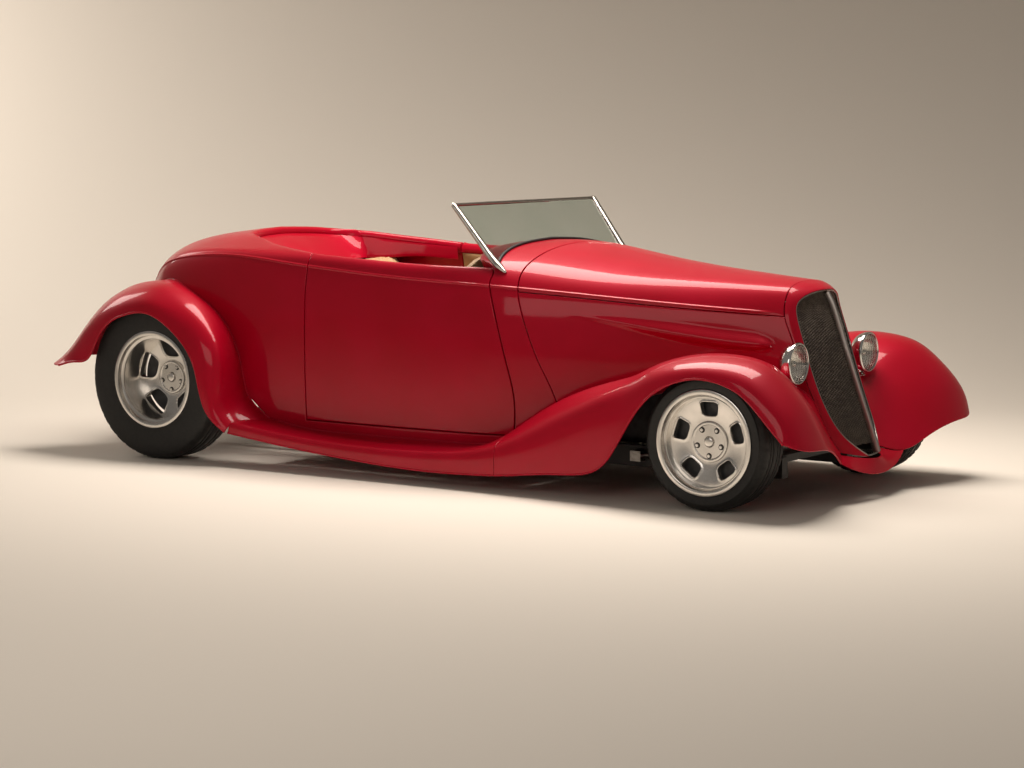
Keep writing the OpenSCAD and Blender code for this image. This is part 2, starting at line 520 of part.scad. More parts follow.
// Frame: two rails with a kick-up over the rear axle, and cross members
rail_front = lx(2960);
cross_h = 30;
module frame() color("dimgray") in_place() {
    both_sides() difference() {
        translate([0, rail_y, 0]) plate_xz([[rail_front, rail_z],
            [rail_front, floor_z], [lx(620), floor_z], [lx(420), kick_z], [lx(-425), kick_z],
            [lx(-425), kick_z - rail_h], [lx(390), kick_z - rail_h], [lx(570), rail_z]], rail_w);
        // Tie-down holes up through each rail
        for (x = tie_downs) translate([x, rail_y, rail_z - 1])
            cylinder(r = tie_down_r, h = rail_h + 2);
    }
    // Outriggers that carry the body's sills
    for (x = [820, 1450]) both_sides() {
        sill = body_at(sec(x), sill_row);
        box([lx(x) - 25, rail_y + rail_w / 2, sill[2] - 26],
            [lx(x) + 25, sill[1] - 6, sill[2] - 0.4]);
    }
    for (x = cross_x)
        box([lx(x) - 30, -rail_y, floor_z - cross_h], [lx(x) + 30, rail_y, floor_z]);
    for (x = [-420, 350])
        box([lx(x), -rail_y, kick_z - cross_h], [lx(x) + 40, rail_y, kick_z]);
    // Spring perch over the front axle, between the rails
    box([wheelbase - 40, -rail_y, floor_z - cross_h], [wheelbase + 40, rail_y, floor_z]);
    // Links down to the rear axle
    both_sides() box([-18, rail_y - 18, rear_axle_z + axle_r + run_fit],
        [18, rail_y + 18, kick_z - rail_h]);
}
tie_down_r = 16;
tie_downs = [lx(2440), lx(700)];
cross_x = [760, 1300, 1880, 2900];
axle_r = 38;

// Floor with its tunnel, fire wall, seat bulkhead, boot floor and wheel houses
tunnel_in = 62;
tunnel_top = 352;
wall_gap = 7;
boot_z = kick_z + piece_gap;
seat_wall_top = 870;
firewall_x = hood_axis[0] - 30;
module section_outline(x, inset, low) {
    pts = [for (v = steps(-8.9, 8.9, 40)) let (p = body_in(sec(x), v, side_t(v) + inset))
        [p[1], p[2]]];
    intersection() {
        polygon(pts);
        translate([-half_w, low]) square([2 * half_w, 1200]);
    }
}
// The body's inside seen from above, at one row
module plan_outline(u0, u1, v, inset) {
    pts = [for (u = steps(u0, u1, 16)) let (p = body_in(u, v, wall + inset)) [p[0], p[1]]];
    polygon(concat(pts, [for (k = [len(pts) - 1:-1:0]) [pts[k][0], -pts[k][1]]]));
}
// A wall across the car that follows the body's inside
module bulkhead(x, t, low, inset) {
    translate([lx(x), 0, 0]) rotate([90, 0, 90]) linear_extrude(t)
        section_outline(x, inset, low);
}
module floor() color("gray") in_place() {
    boot_floor();
    difference() {
        union() {
            translate([0, 0, floor_z]) linear_extrude(floor_t)
                plan_outline(sec(560), sec(1783), 8.9, wall_gap);
            bulkhead(1780, 6, floor_z, trim_t + 10);
            box([lx(560), -tunnel_in - 6, floor_z], [lx(1780), tunnel_in + 6, tunnel_top]);
            box([lx(1400), -150, floor_z], [lx(1780), 150, 430]);
        }
        box([lx(540), -tunnel_in, 0], [lx(1800), tunnel_in, tunnel_top - 6]);
        box([lx(1406), -144, 0], [lx(1800), 144, 424]);
        both_sides() box([lx(560) - 1, rail_y - rail_w, 0], [lx(660), rail_y + rail_w, 300]);
        column_hole();
    }
}
module boot_floor() {
    translate([0, 0, boot_z]) linear_extrude(floor_t) intersection() {
        plan_outline(1.2, sec(300), 6.6, wall_gap);
        translate([lx(-440), -wheel_house_y]) square([lx(306) - lx(-440), 2 * wheel_house_y]);
    }
    // The wall behind the seat stops below the cockpit's rim
    translate([lx(300), 0, 0]) rotate([90, 0, 90]) linear_extrude(6) intersection() {
        section_outline(300, wall_gap, boot_z);
        translate([-half_w, 0]) square([2 * half_w, seat_wall_top]);
    }
    // Wheel houses: a plate that closes the body side inside each rear wheel
    both_sides() intersection() {
        translate([0, wheel_house_y, rear_axle_z]) rotate([90, 0, 0])
            cylinder(r = rear_tyre_d / 2 + 8, h = 8);
        box([-400, 0, boot_z], [lx(300), half_w, 900]);
    }
}
wheel_house_y = ly(632) - wall - 8;

// Engine, gearbox and drive shaft
engine_x = 2080;
module engine() color("darkslategray") in_place() {
    box([lx(engine_x), -230, floor_z + piece_gap], [lx(engine_x) + 560, 230, 700]);
}
module driveline() color("gray") in_place() {
    hull_z = 285;
    translate([lx(1790), 0, hull_z]) rotate([0, 90, 0]) cylinder(r = 95, h = lx(engine_x) - lx(1790));
    translate([lx(1420), 0, hull_z]) rotate([0, 90, 0]) cylinder(r = 60, h = lx(1790) - lx(1420));
    shaft_from_to([150, 0, rear_axle_z - pinion_drop], [lx(1420), 0, hull_z], 28);
}
module shaft_from_to(a, b, r) {
    d = b - a;
    translate(a) rotate([0, acos(d[2] / norm(d)), atan2(d[1], d[0])]) cylinder(r = r, h = norm(d));
}
module rear_axle() color("dimgray") in_place() {
    hub_y = rear_track_w / 2 - rear_dish - 22;
    difference() {
        union() {
            translate([0, hub_y - 60, rear_axle_z]) rotate([90, 0, 0])
                cylinder(r = axle_r, h = 2 * hub_y - 120);
            translate([0, 0, rear_axle_z]) sphere(r = 125);
        }
        shaft_clear();
    }
    both_sides() {
        translate([0, hub_y, rear_axle_z]) rotate([90, 0, 0]) cylinder(r = spindle_r, h = 60);
        translate([0, hub_y - 58, rear_axle_z]) rotate([90, 0, 0]) cylinder(r = 130, h = 16);
    }
}
pinion_drop = 40;
module shaft_clear() {
    translate([100, 0, rear_axle_z - pinion_drop]) rotate([0, 90, 0]) cylinder(r = 30, h = 60);
}
module exhaust() color("silver") in_place() {
    both_sides() {
        translate([lx(-300), pipe_y, pipe_z]) rotate([0, 90, 0])
            cylinder(r = 22, h = lx(2200) - lx(-300));
        translate([lx(900), pipe_y, pipe_z]) rotate([0, 90, 0]) cylinder(r = 34, h = 500);
        translate([lx(2200) - 22, pipe_y, pipe_z]) cylinder(r = 22, h = floor_z - pipe_z);
    }
}
pipe_y = 175;
pipe_z = rail_z + rail_h - cross_h - 34.3;
module fuel_tank() color("gray") in_place() {
    box([lx(-430), -270, kick_z - 160], [lx(-190), 270, kick_z - cross_h - piece_gap]);
}
module tail_lamps() color("darkred") in_place() {
    p = body_at(0.5, 2.5);
    n = body_normal(0.5, 2.5);
    both_sides() shaft_from_to(p + 0.1 * n, p + 20 * n, 30);
}

// Front axle: a dropped beam with a yoke at each end for the knuckle's king pin
king_y = 560;
king_r = 10;
boss_h = 70;
arm_x = 130;
module front_axle() color("silver") in_place() {
    beam_z = front_axle_z - 62;
    translate([wheelbase, king_y - 50, beam_z]) rotate([90, 0, 0])
        cylinder(r = 24, h = 2 * king_y - 100);
    translate([wheelbase, 0, 0]) both_sides() {
        box([-28, king_y - 66, beam_z - 26], [28, king_y - 42, front_axle_z + boss_h / 2 + 20]);
        // Yoke ears above and below the knuckle, with the king pin through them
        for (z = [-1, 1])
            translate([0, 0, front_axle_z + z * (boss_h / 2 + 10)])
                box([-16, king_y - 43, -9], [16, king_y + 15, 9]);
        translate([0, king_y, front_axle_z - boss_h / 2 - 10])
            cylinder(r = king_r, h = boss_h + 20);
        // Radius rod back to the frame rail
        shaft_from_to([-20, king_y - 130, beam_z], [-565, rail_y + 50, 140], 11);
    }
    translate([wheelbase, 0, 0]) both_sides()
        box([-590, rail_y + rail_w / 2 + piece_gap, 118], [-540, rail_y + 66, 162]);
    // Transverse spring between the axle and the frame
    translate([wheelbase, 0, 0])
        box([-16, -rail_y, floor_z + piece_gap], [16, rail_y, beam_z - 12]);
}
spindle_r = 16;
module knuckle() {
    translate([wheelbase, king_y, front_axle_z]) {
        difference() {
            union() {
                cylinder(r = 24, h = boss_h, center = true);
                rotate([-90, 0, 0]) cylinder(r = spindle_r, h = front_track_w / 2 - front_dish - 22 - king_y);
                translate([0, 28, 0]) rotate([-90, 0, 0]) cylinder(r = 126, h = 14);
                box([-arm_x - 12, -12, -30], [0, 12, -16]);
            }
            cylinder(r = king_r + run_fit, h = boss_h + 2, center = true);
            translate([-arm_x, 0, -40]) cylinder(r = 8 + run_fit, h = 40);
        }
    }
}
module knuckle_left() color("silver") in_place() left_side() knuckle();
module knuckle_right() color("silver") in_place() right_side() knuckle();
module tie_rod() color("silver") in_place() {
    z = front_axle_z - 30;
    translate([wheelbase - arm_x, 0, z - 30]) both_sides()
        translate([0, king_y, 0]) cylinder(r = 8, h = 44);
    translate([wheelbase - arm_x, king_y, z - 18]) rotate([90, 0, 0])
        cylinder(r = 10, h = 2 * king_y);
}

// Wheels. Profiles are (radius, outward) points about the wheel's outer face.
front_dish = 60;
rear_dish = 150;
tyre_gap = 0.3;
module tyre(d, w, rim_d) {
    r = d / 2;
    b = rim_d / 2 - 12 + tyre_gap;
    lip = rim_d / 2 + 1;
    half = [[b, w / 2 - 15.5], [lip, w / 2 - 15.5], [lip + 2, w / 2 - 5],
        [(r + b) / 2 + 8, w / 2], [r - 24, w / 2 - 6], [r - 9, w / 2 - 18],
        [r - 2, w / 2 - 34], [r, w / 2 - 55]];
    rotate_extrude($fn = 96) polygon(concat(half,
        [for (k = [len(half) - 1:-1:0]) [half[k][0], -half[k][1]]]));
}
module rim(w, rim_d, dish, hub_r, window_in, window_out, window_w) {
    r = rim_d / 2;
    b = r - 12;
    e = w / 2 - 14 - 2 * tyre_gap;
    face = w / 2 - dish;
    difference() {
        union() {
            rotate_extrude($fn = 96) polygon([[b - 10, -e], [b, -e], [b, e], [r, w / 2 - 6],
                [r, w / 2 - 1], [r - 6, w / 2 - 1], [r - 14, w / 2 - 12], [b - 10, e - 12]]);
            rotate_extrude($fn = 96) polygon([[0, face - 44], [hub_r - 14, face - 44],
                [hub_r, face - 20], [window_in, face - 12], [b - 5, face - 14], [b - 5, face],
                [window_in, face + 2], [hub_r, face + 4], [hub_r - 4, face + 14],
                [0, face + 14]]);
        }
        for (k = [0:4]) rotate([0, 0, 90 + 72 * k]) translate([0, 0, face - 30])
            linear_extrude(50) polygon([[window_in, -window_w * 0.38],
                [window_out, -window_w / 2], [window_out, window_w / 2],
                [window_in, window_w * 0.38]]);
        translate([0, 0, face - 50]) cylinder(r = spindle_r + run_fit, h = 50);
        for (k = [0:4]) rotate([0, 0, 54 + 72 * k]) translate([lug_circle / 2, 0, face - 4])
            cylinder(r = 8, h = 30);
    }
}
lug_circle = 114.3;
// A wheel's own +Z becomes outward, at the tyre's middle
module wheel_place(x, y, z) {
    translate([x, y, z]) rotate([-90, 0, 0]) children();
}
module front_wheel_place() {
    wheel_place(wheelbase, front_track_w / 2 - front_tyre_w / 2, front_axle_z) children();
}
module rear_wheel_place() {
    wheel_place(0, rear_track_w / 2 - rear_tyre_w / 2, rear_axle_z) children();
}
module front_tyre() {
    front_wheel_place() tyre(front_tyre_d, front_tyre_w, front_rim_d);
}
module rear_tyre() {
    rear_wheel_place() tyre(rear_tyre_d, rear_tyre_w, rear_rim_d);
}
module front_rim() {
    front_wheel_place() rim(front_tyre_w, front_rim_d, front_dish, 84, 106, 160, 86);
}
module rear_rim() {
    rear_wheel_place() rim(rear_tyre_w, rear_rim_d, rear_dish, 76, 96, 180, 116);
}
module tyre_front_left() color("black") in_place() left_side() front_tyre();
module tyre_front_right() color("black") in_place() right_side() front_tyre();
module tyre_rear_left() color("black") in_place() left_side() rear_tyre();
module tyre_rear_right() color("black") in_place() right_side() rear_tyre();
module rim_front_left() color("silver") in_place() left_side() front_rim();
module rim_front_right() color("silver") in_place() right_side() front_rim();
module rim_rear_left() color("silver") in_place() left_side() rear_rim();
module rim_rear_right() color("silver") in_place() right_side() rear_rim();

// Windshield: leaning stanchions on the cowl, a top bar and the glass between them
shield_foot = body_at(sec(1688), 3.05) + [0, 0, 4];
shield_top = [lx(1484), ly(572), shield_z];
post_r = 11;
foot_h = 14;
foot_at = body_at(sec(1688), 3.05);
foot_n = body_normal(sec(1688), 3.05);
module windshield_frame() color("silver") in_place() {
    lean = (shield_top - shield_foot) / norm(shield_top - shield_foot);
    both_sides() {
        shaft_from_to(shield_foot + 12 * lean, shield_top + post_r * lean, post_r);
        shaft_from_to(foot_at + 0.6 * foot_n, foot_at + foot_h * foot_n, 15);
    }
    translate([shield_top[0], shield_top[1] - 2, shield_top[2]]) rotate([90, 0, 0])
        cylinder(r = post_r - 3, h = 2 * shield_top[1] - 4);
}
glass_t = 6;
glass_gap = 1.6;
// Where the glass's plane meets the cowl at a row: the section number, found by repetition
function shield_x(z) = shield_foot[0]
    + (shield_top[0] - shield_foot[0]) * (z - shield_foot[2]) / (shield_top[2] - shield_foot[2]);
function cowl_meet(v, u, n) = n == 0 ? u
    : cowl_meet(v, sec((shield_x(body_at(u, v)[2]) + glass_t) * drawn_wheelbase / wheelbase), n - 1);
module windshield_glass() color("lightcyan", 0.4) in_place() {
    d = shield_top - shield_foot;
    lean = atan2(d[0], d[2]);
    h = norm([d[0], 0, d[2]]) - post_r + 1.7;
    low_pts = [for (v = steps(2.8, 0, 10)) let (p = body_at(cowl_meet(v, sec(1650), 6), v))
        [p[1], (p[2] - shield_foot[2]) / cos(lean) + 8]];
    side_y = shield_foot[1] - post_r - glass_gap;
    right = concat([[shield_top[1] - post_r - glass_gap, h], [side_y, low_pts[0][1]]],
        [for (p = low_pts) if (p[0] < side_y) p]);
    translate([shield_foot[0], 0, shield_foot[2]]) rotate([0, lean, 0])
        rotate([90, 0, 90]) linear_extrude(glass_t, center = true)
            polygon(concat(right, [for (k = [len(right) - 2:-1:0]) [-right[k][0], right[k][1]]]));
}

// Seat, dash and steering
seat_y = seat_w / 2;
cushion_z = tunnel_top + piece_gap;
seat_rear = lx(300) + 6 + piece_gap;
module seat_cushion() color("burlywood") in_place() {
    plate_xz([[lx(560), cushion_z], [lx(560), cushion_z + cushion_h - 20],
        [lx(600), cushion_z + cushion_h], [lx(1010), cushion_z + cushion_h + 20],
        [lx(1060), cushion_z + cushion_h], [lx(1070), cushion_z + 20],
        [lx(1050), cushion_z]], seat_w);
}
module seat_back() color("burlywood") in_place() {
    plate_xz([[lx(540), boot_z + floor_t], [lx(555), cushion_z + cushion_h + 60],
        [lx(440), 880], [lx(415), 905], [lx(385), 910], [lx(345), 890],
        [seat_rear, 820], [seat_rear, boot_z + floor_t]], seat_w);
}
module dash() color("burlywood") in_place() {
    intersection() {
        translate([lx(1505), 0, 0]) rotate([90, 0, 90]) linear_extrude(22)
            section_outline(1500, wall_gap, dash_low);
        box([lx(1400), -dash_y, dash_low], [lx(1600), dash_y, 1100]);
    }
    both_sides() translate([lx(1505) + 20, 180, 860]) rotate([0, 90, 0])
        cylinder(r = 9, h = lx(1780) - lx(1505) - 20 - piece_gap);
}
dash_y = ly(520);
dash_low = 790;
wheel_c = [lx(1300), 340, 800];
column_tilt = 25;
module column_hole() {
    translate(wheel_c) rotate([0, 90 + column_tilt, 0]) cylinder(r = 18 + piece_gap, h = 900);
}
module steering_column() color("dimgray") in_place() {
    translate(wheel_c) rotate([0, 90 + column_tilt, 0]) {
        translate([0, 0, 62]) cylinder(r = 18, h = (lx(1815) - wheel_c[0]) / cos(column_tilt) - 62);
        translate([0, 0, 30]) cylinder(r = 8, h = 40);
    }
}
module steering_wheel() color("black") in_place() {
    translate(wheel_c) rotate([0, 90 + column_tilt, 0]) {
        rotate_extrude() translate([steering_d / 2 - 12, 0]) circle(r = 12, $fn = 24);
        difference() {
            translate([0, 0, 10]) cylinder(r = 30, h = 48);
            translate([0, 0, 29]) cylinder(r = 8 + run_fit, h = 40);
        }
        for (a = [0, 120, 240]) rotate([0, 0, a]) difference() {
            translate([0, 0, 8]) rotate([0, 90, 0]) cylinder(r = 7, h = steering_d / 2 - 14);
            cylinder(r = 20, h = 40);
        }
    }
}

frame();
floor();
body_tub();
door_left();
door_right();
deck_lid();
hood_top();
hood_sides();
grille_shell();
grille();
front_apron();
headlamps();
front_fender_left();
front_fender_right();
running_board_left();
running_board_right();
rear_fender_left();
rear_fender_right();
windshield_frame();
windshield_glass();
seat_back();
seat_cushion();
dash();
door_trim_left();
door_trim_right();
steering_wheel();
steering_column();
front_axle();
knuckle_left();
knuckle_right();
tie_rod();
rear_axle();
tyre_front_left();
tyre_front_right();
tyre_rear_left();
tyre_rear_right();
rim_front_left();
rim_front_right();
rim_rear_left();
rim_rear_right();
engine();
driveline();
exhaust();
fuel_tank();
tail_lamps();
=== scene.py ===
import math
import bpy
import numpy as np
from mathutils import Matrix, Vector


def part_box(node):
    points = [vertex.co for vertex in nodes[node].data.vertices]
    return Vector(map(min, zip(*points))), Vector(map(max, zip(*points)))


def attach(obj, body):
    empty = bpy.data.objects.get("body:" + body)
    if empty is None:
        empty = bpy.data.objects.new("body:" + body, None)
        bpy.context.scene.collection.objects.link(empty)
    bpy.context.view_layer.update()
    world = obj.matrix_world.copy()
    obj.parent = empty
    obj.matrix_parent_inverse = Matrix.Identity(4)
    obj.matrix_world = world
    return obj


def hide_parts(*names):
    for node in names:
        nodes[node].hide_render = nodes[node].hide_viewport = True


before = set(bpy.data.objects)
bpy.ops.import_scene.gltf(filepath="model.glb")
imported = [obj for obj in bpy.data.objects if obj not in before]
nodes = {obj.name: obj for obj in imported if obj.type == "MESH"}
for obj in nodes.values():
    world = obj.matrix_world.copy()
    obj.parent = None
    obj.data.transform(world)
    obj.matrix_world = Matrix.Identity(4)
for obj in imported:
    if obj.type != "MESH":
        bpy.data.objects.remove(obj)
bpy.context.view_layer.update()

# Drawn points are measured from the rear axle; the part's own origin is midway along it
midX = 1.356


def stage(text):
    print("scene:", text)


# Cubic weights at s over n evenly numbered points with reflected ends, turned into weights on
# the points themselves by solving for the controls, so the curve runs through every point
def through(s, n):
    def weights(s):
        s = np.asarray(s, float).ravel()
        k = np.clip(np.floor(s).astype(int), 0, n - 2)
        t = s - k
        w = np.stack([(1 - t) ** 3, 3 * t ** 3 - 6 * t ** 2 + 4,
                      -3 * t ** 3 + 3 * t ** 2 + 3 * t + 1, t ** 3], 1) / 6
        m = np.zeros((len(s), n + 2))
        m[np.arange(len(s))[:, None], k[:, None] + np.arange(4)] = w
        full = m[:, 1:-1].copy()
        full[:, 0] += 2 * m[:, 0]
        full[:, 1] -= m[:, 0]
        full[:, -1] += 2 * m[:, -1]
        full[:, -2] -= m[:, -1]
        return full
    return weights(s) @ np.linalg.inv(weights(np.arange(n)))


# A point of a drawn net at (u, v): the row weights times the column weights times the points.
# A negative v is the mirrored right-hand side.
def netPoint(table, u, v):
    u, v = np.broadcast_arrays(np.asarray(u, float), np.asarray(v, float))
    a = through(u, table.shape[0])
    b = through(np.abs(v), table.shape[1])
    p = (a @ table.reshape(table.shape[0], -1)).reshape(-1, table.shape[1], 3)
    p = np.einsum("nb,nbk->nk", b, p).reshape(u.shape + (3,))
    p[..., 1] *= np.where(v < 0, -1.0, 1.0)
    return p


def unit(a):
    return a / np.maximum(np.linalg.norm(a, axis=-1, keepdims=True), 1e-12)


# The unit normal of a surface by central differences, its two directions crossed
def surfaceNormal(point, u, v, e=0.02):
    return unit(np.cross(point(u + e, v) - point(u - e, v), point(u, v + e) - point(u, v - e)))


# A smooth curve through given values: cubic Hermite with slopes by differences
def smoothly(x, xs, ys):
    xs, ys = np.asarray(xs, float), np.asarray(ys, float)
    slopes = np.gradient(ys, xs)
    x = np.clip(np.asarray(x, float), xs[0], xs[-1])
    k = np.clip(np.searchsorted(xs, x, side="right") - 1, 0, len(xs) - 2)
    h = xs[k + 1] - xs[k]
    t = (x - xs[k]) / h
    return ((2 * t ** 3 - 3 * t ** 2 + 1) * ys[k] + (t ** 3 - 2 * t ** 2 + t) * h * slopes[k]
            + (-2 * t ** 3 + 3 * t ** 2) * ys[k + 1] + (t ** 3 - t ** 2) * h * slopes[k + 1])


# 0 before a, 1 after b, and a smooth step between
def ease(a, b, x):
    t = np.clip((x - a) / (b - a), 0, 1)
    return t * t * (3 - 2 * t)


# Faces of a closed shell: outer and inner grids with side walls wherever a kept cell ends
def shellFaces(keep):
    n, m = keep.shape[0] + 1, keep.shape[1] + 1
    idx = np.arange(n * m).reshape(n, m)
    base = n * m
    a, b, c, d = idx[:-1, :-1], idx[:-1, 1:], idx[1:, 1:], idx[1:, :-1]
    pad = np.pad(keep, 1)
    quad = lambda *q: np.stack(q, -1)
    return np.concatenate([
        quad(a, b, c, d)[keep], quad(a + base, d + base, c + base, b + base)[keep],
        quad(a, d, d + base, a + base)[keep & ~pad[1:-1, :-2]],
        quad(c, b, b + base, c + base)[keep & ~pad[1:-1, 2:]],
        quad(b, a, a + base, b + base)[keep & ~pad[:-2, 1:-1]],
        quad(d, c, c + base, d + base)[keep & ~pad[2:, 1:-1]]])


# Faces of a grid of n by m points, wrapped round either way if asked
def gridFaces(n, m, wrapN=False, wrapM=False):
    i = np.arange(n if wrapN else n - 1)[:, None]
    j = np.arange(m if wrapM else m - 1)[None, :]
    at = lambda i, j: (i % n) * m + (j % m)
    return np.stack([at(i, j), at(i, j + 1), at(i + 1, j + 1), at(i + 1, j)], -1).reshape(-1, 4)


# Turns a closed form's faces outward: its signed volume is the sum over fans of triangles
def outward(verts, faces):
    vol = 0.0
    for f in faces:
        p = verts[f]
        for k in range(1, f.shape[1] - 1):
            vol += np.einsum("ij,ij->i", p[:, 0], np.cross(p[:, k], p[:, k + 1])).sum()
    return [f[:, ::-1] for f in faces] if vol < 0 else faces


# One object out of closed forms, each a pair of points and lists of faces
def piece(name, forms, finish, body, replaces=(), sharp=35):
    allVerts, allFaces, base = [], [], 0
    for verts, faces in forms:
        verts = np.asarray(verts, float).reshape(-1, 3)
        faces = faces if isinstance(faces, list) else [faces]
        used = np.unique(np.concatenate([f.ravel() for f in faces]))
        remap = np.zeros(len(verts), int)
        remap[used] = np.arange(len(used))
        verts = verts[used]
        for f in outward(verts, [remap[f] for f in faces]):
            allFaces += (f + base).tolist()
        allVerts.append(verts)
        base += len(verts)
    mesh = bpy.data.meshes.new(name)
    mesh.from_pydata(np.concatenate(allVerts).tolist(), [], allFaces)
    mesh.validate()
    mesh.polygons.foreach_set("use_smooth", np.ones(len(mesh.polygons), bool))
    if sharp:
        mesh.set_sharp_from_angle(angle=math.radians(sharp))
    obj = bpy.data.objects.new(name, mesh)
    bpy.context.scene.collection.objects.link(obj)
    obj.data.materials.append(finish)
    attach(obj, body)
    if replaces:
        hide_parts(*replaces)
    return obj


# A tube along a path: a circle in the plane across each point of the path, its ends closed flat
def tube(path, radius, sides=16, closed=False, flat=(1.0, 1.0), up=(0, 0, 1)):
    path = np.asarray(path, float)
    radius = np.broadcast_to(np.asarray(radius, float), len(path))
    if closed:
        ahead = unit(np.roll(path, -1, 0) - np.roll(path, 1, 0))
    else:
        ahead = unit(np.gradient(path, axis=0))
    side = unit(np.cross(np.broadcast_to(np.asarray(up, float), path.shape), ahead))
    top = np.cross(ahead, side)
    a = np.linspace(0, 2 * np.pi, sides, endpoint=False)
    ring = (np.cos(a)[None, :, None] * side[:, None] * flat[0]
            + np.sin(a)[None, :, None] * top[:, None] * flat[1]) * radius[:, None, None]
    verts = (path[:, None] + ring).reshape(-1, 3)
    if closed:
        return verts, [gridFaces(len(path), sides, wrapN=True, wrapM=True)]
    tail = (len(path) - 1) * sides
    return verts, [gridFaces(len(path), sides, wrapM=True), np.arange(sides)[None, ::-1],
                   np.arange(sides)[None] + tail]


# A profile of (radius, along) points turned about an axis. axis "Y" turns a wheel, whose outward
# side is side * Y, and "X" a lamp. wrap closes the profile on itself; else its ends are capped.
def turned(profile, centre, axis="Y", side=1, around=160, wrap=True):
    profile = np.asarray(profile, float)
    a = np.linspace(0, 2 * np.pi, around, endpoint=False)
    r = profile[:, 0][:, None] + 0 * a
    w = (profile[:, 1][:, None] + 0 * a) * side
    grid = [r * np.sin(a), w, r * np.cos(a)] if axis == "Y" else [w, r * np.cos(a), r * np.sin(a)]
    verts = (np.stack(grid, -1) + np.asarray(centre)).reshape(-1, 3)
    faces = [gridFaces(len(profile), around, wrapN=wrap, wrapM=True)]
    if not wrap:
        first = np.arange(around)[None]
        faces += [first[:, ::-1], first + (len(profile) - 1) * around]
    return verts, faces


# A polyline with each inner corner replaced by a short parabola that starts at a share of its legs
def rounded(points, each=6, share=0.25):
    p = np.asarray(points, float)
    lens = np.linalg.norm(np.diff(p, axis=0), axis=1)
    cut = np.minimum(lens[:-1], lens[1:]) * share
    before = p[1:-1] + unit(p[:-2] - p[1:-1]) * cut[:, None]
    after = p[1:-1] + unit(p[2:] - p[1:-1]) * cut[:, None]
    t = np.linspace(0, 1, each)[None, :, None]
    arcs = ((1 - t) ** 2 * before[:, None] + 2 * t * (1 - t) * p[1:-1][:, None]
            + t ** 2 * after[:, None])
    return np.concatenate([p[:1], arcs.reshape(-1, p.shape[1]), p[-1:]])


def linear(text):
    c = [int(text[i:i + 2], 16) / 255 for i in (1, 3, 5)]
    return tuple(x / 12.92 if x <= 0.04045 else ((x + 0.055) / 1.055) ** 2.4 for x in c) + (1.0,)


def addNode(tree, kind, values=None, links=None, **settings):
    node = tree.nodes.new(kind)
    for key, value in settings.items():
        setattr(node, key, value)
    for socket, value in (values or {}).items():
        node.inputs[socket].default_value = value
    for socket, source in (links or {}).items():
        tree.links.new(source, node.inputs[socket])
    return node


def material(name):
    mat = bpy.data.materials.new(name)
    mat.use_nodes = True
    tree = mat.node_tree
    tree.nodes.clear()
    out = addNode(tree, "ShaderNodeOutputMaterial")
    shader = addNode(tree, "ShaderNodeBsdfPrincipled")
    tree.links.new(shader.outputs[0], out.inputs["Surface"])
    place = addNode(tree, "ShaderNodeTexCoord").outputs["Object"]
    return mat, tree, shader, place


# Wave length in metres to a noise texture's scale
def perMetre(mm):
    return 1000.0 / mm


# A wave texture's scale for bands that lie a number of millimetres apart
def bandScale(mm):
    return perMetre(mm) * 2 * math.pi / 20


# The base colour as noise between two colours, at a size in millimetres
def mottled(tree, shader, place, a, b, mm, low=0.4, high=0.6, detail=3.0):
    noise = addNode(tree, "ShaderNodeTexNoise", {"Scale": perMetre(mm), "Detail": detail},
                    {"Vector": place})
    ramp = addNode(tree, "ShaderNodeValToRGB", None, {"Fac": noise.outputs["Fac"]})
    ramp.color_ramp.elements[0].position = low
    ramp.color_ramp.elements[1].position = high
    ramp.color_ramp.elements[0].color = linear(a)
    ramp.color_ramp.elements[1].color = linear(b)
    tree.links.new(ramp.outputs["Color"], shader.inputs["Base Color"])


# A bump whose distance is in metres, under the clear coat's surface too if asked
def bumped(tree, shader, height, distance, coat=False):
    bump = addNode(tree, "ShaderNodeBump", {"Distance": distance, "Strength": 1.0},
                   {"Height": height})
    tree.links.new(bump.outputs[0], shader.inputs["Normal"])
    if coat:
        tree.links.new(bump.outputs[0], shader.inputs["Coat Normal"])


# The shader's plain values, by the names of its sockets
def finished(shader, values):
    for socket, value in values.items():
        shader.inputs[socket].default_value = value


# A bump of noise: its size in millimetres, its detail and its height in metres
def grained(tree, shader, place, mm, detail, height, coat=False):
    noise = addNode(tree, "ShaderNodeTexNoise", {"Scale": perMetre(mm), "Detail": detail},
                    {"Vector": place})
    bumped(tree, shader, noise.outputs["Fac"], height, coat=coat)


# Roughness that wanders between two values, at a size in millimetres
def hazed(tree, shader, place, mm, detail, low, high):
    noise = addNode(tree, "ShaderNodeTexNoise", {"Scale": perMetre(mm), "Detail": detail},
                    {"Vector": place})
    rough = addNode(tree, "ShaderNodeMapRange", {"To Min": low, "To Max": high},
                    {"Value": noise.outputs["Fac"]})
    tree.links.new(rough.outputs[0], shader.inputs["Roughness"])


# Two-stage car paint: a deep red base under a hard clear coat. The coat gives sharp soft-box
# reflections, and a faint ripple in it, drawn about 9 mm long, gives sprayed paint's look.
def clearCoatRedPaint():
    mat, tree, shader, place = material("clearCoatRedPaint")
    mottled(tree, shader, place, "#a10020", "#a90027", 240, 0.3, 0.7, 2)
    finished(shader, {"Roughness": 0.42, "IOR": 1.5, "Specular Tint": linear("#ff4f6c"),
                      "Coat Weight": 0.45, "Coat Roughness": 0.07,
                      "Coat Tint": linear("#ffb9c2")})
    grained(tree, shader, place, 9, 2.0, 0.00003, coat=True)
    return mat


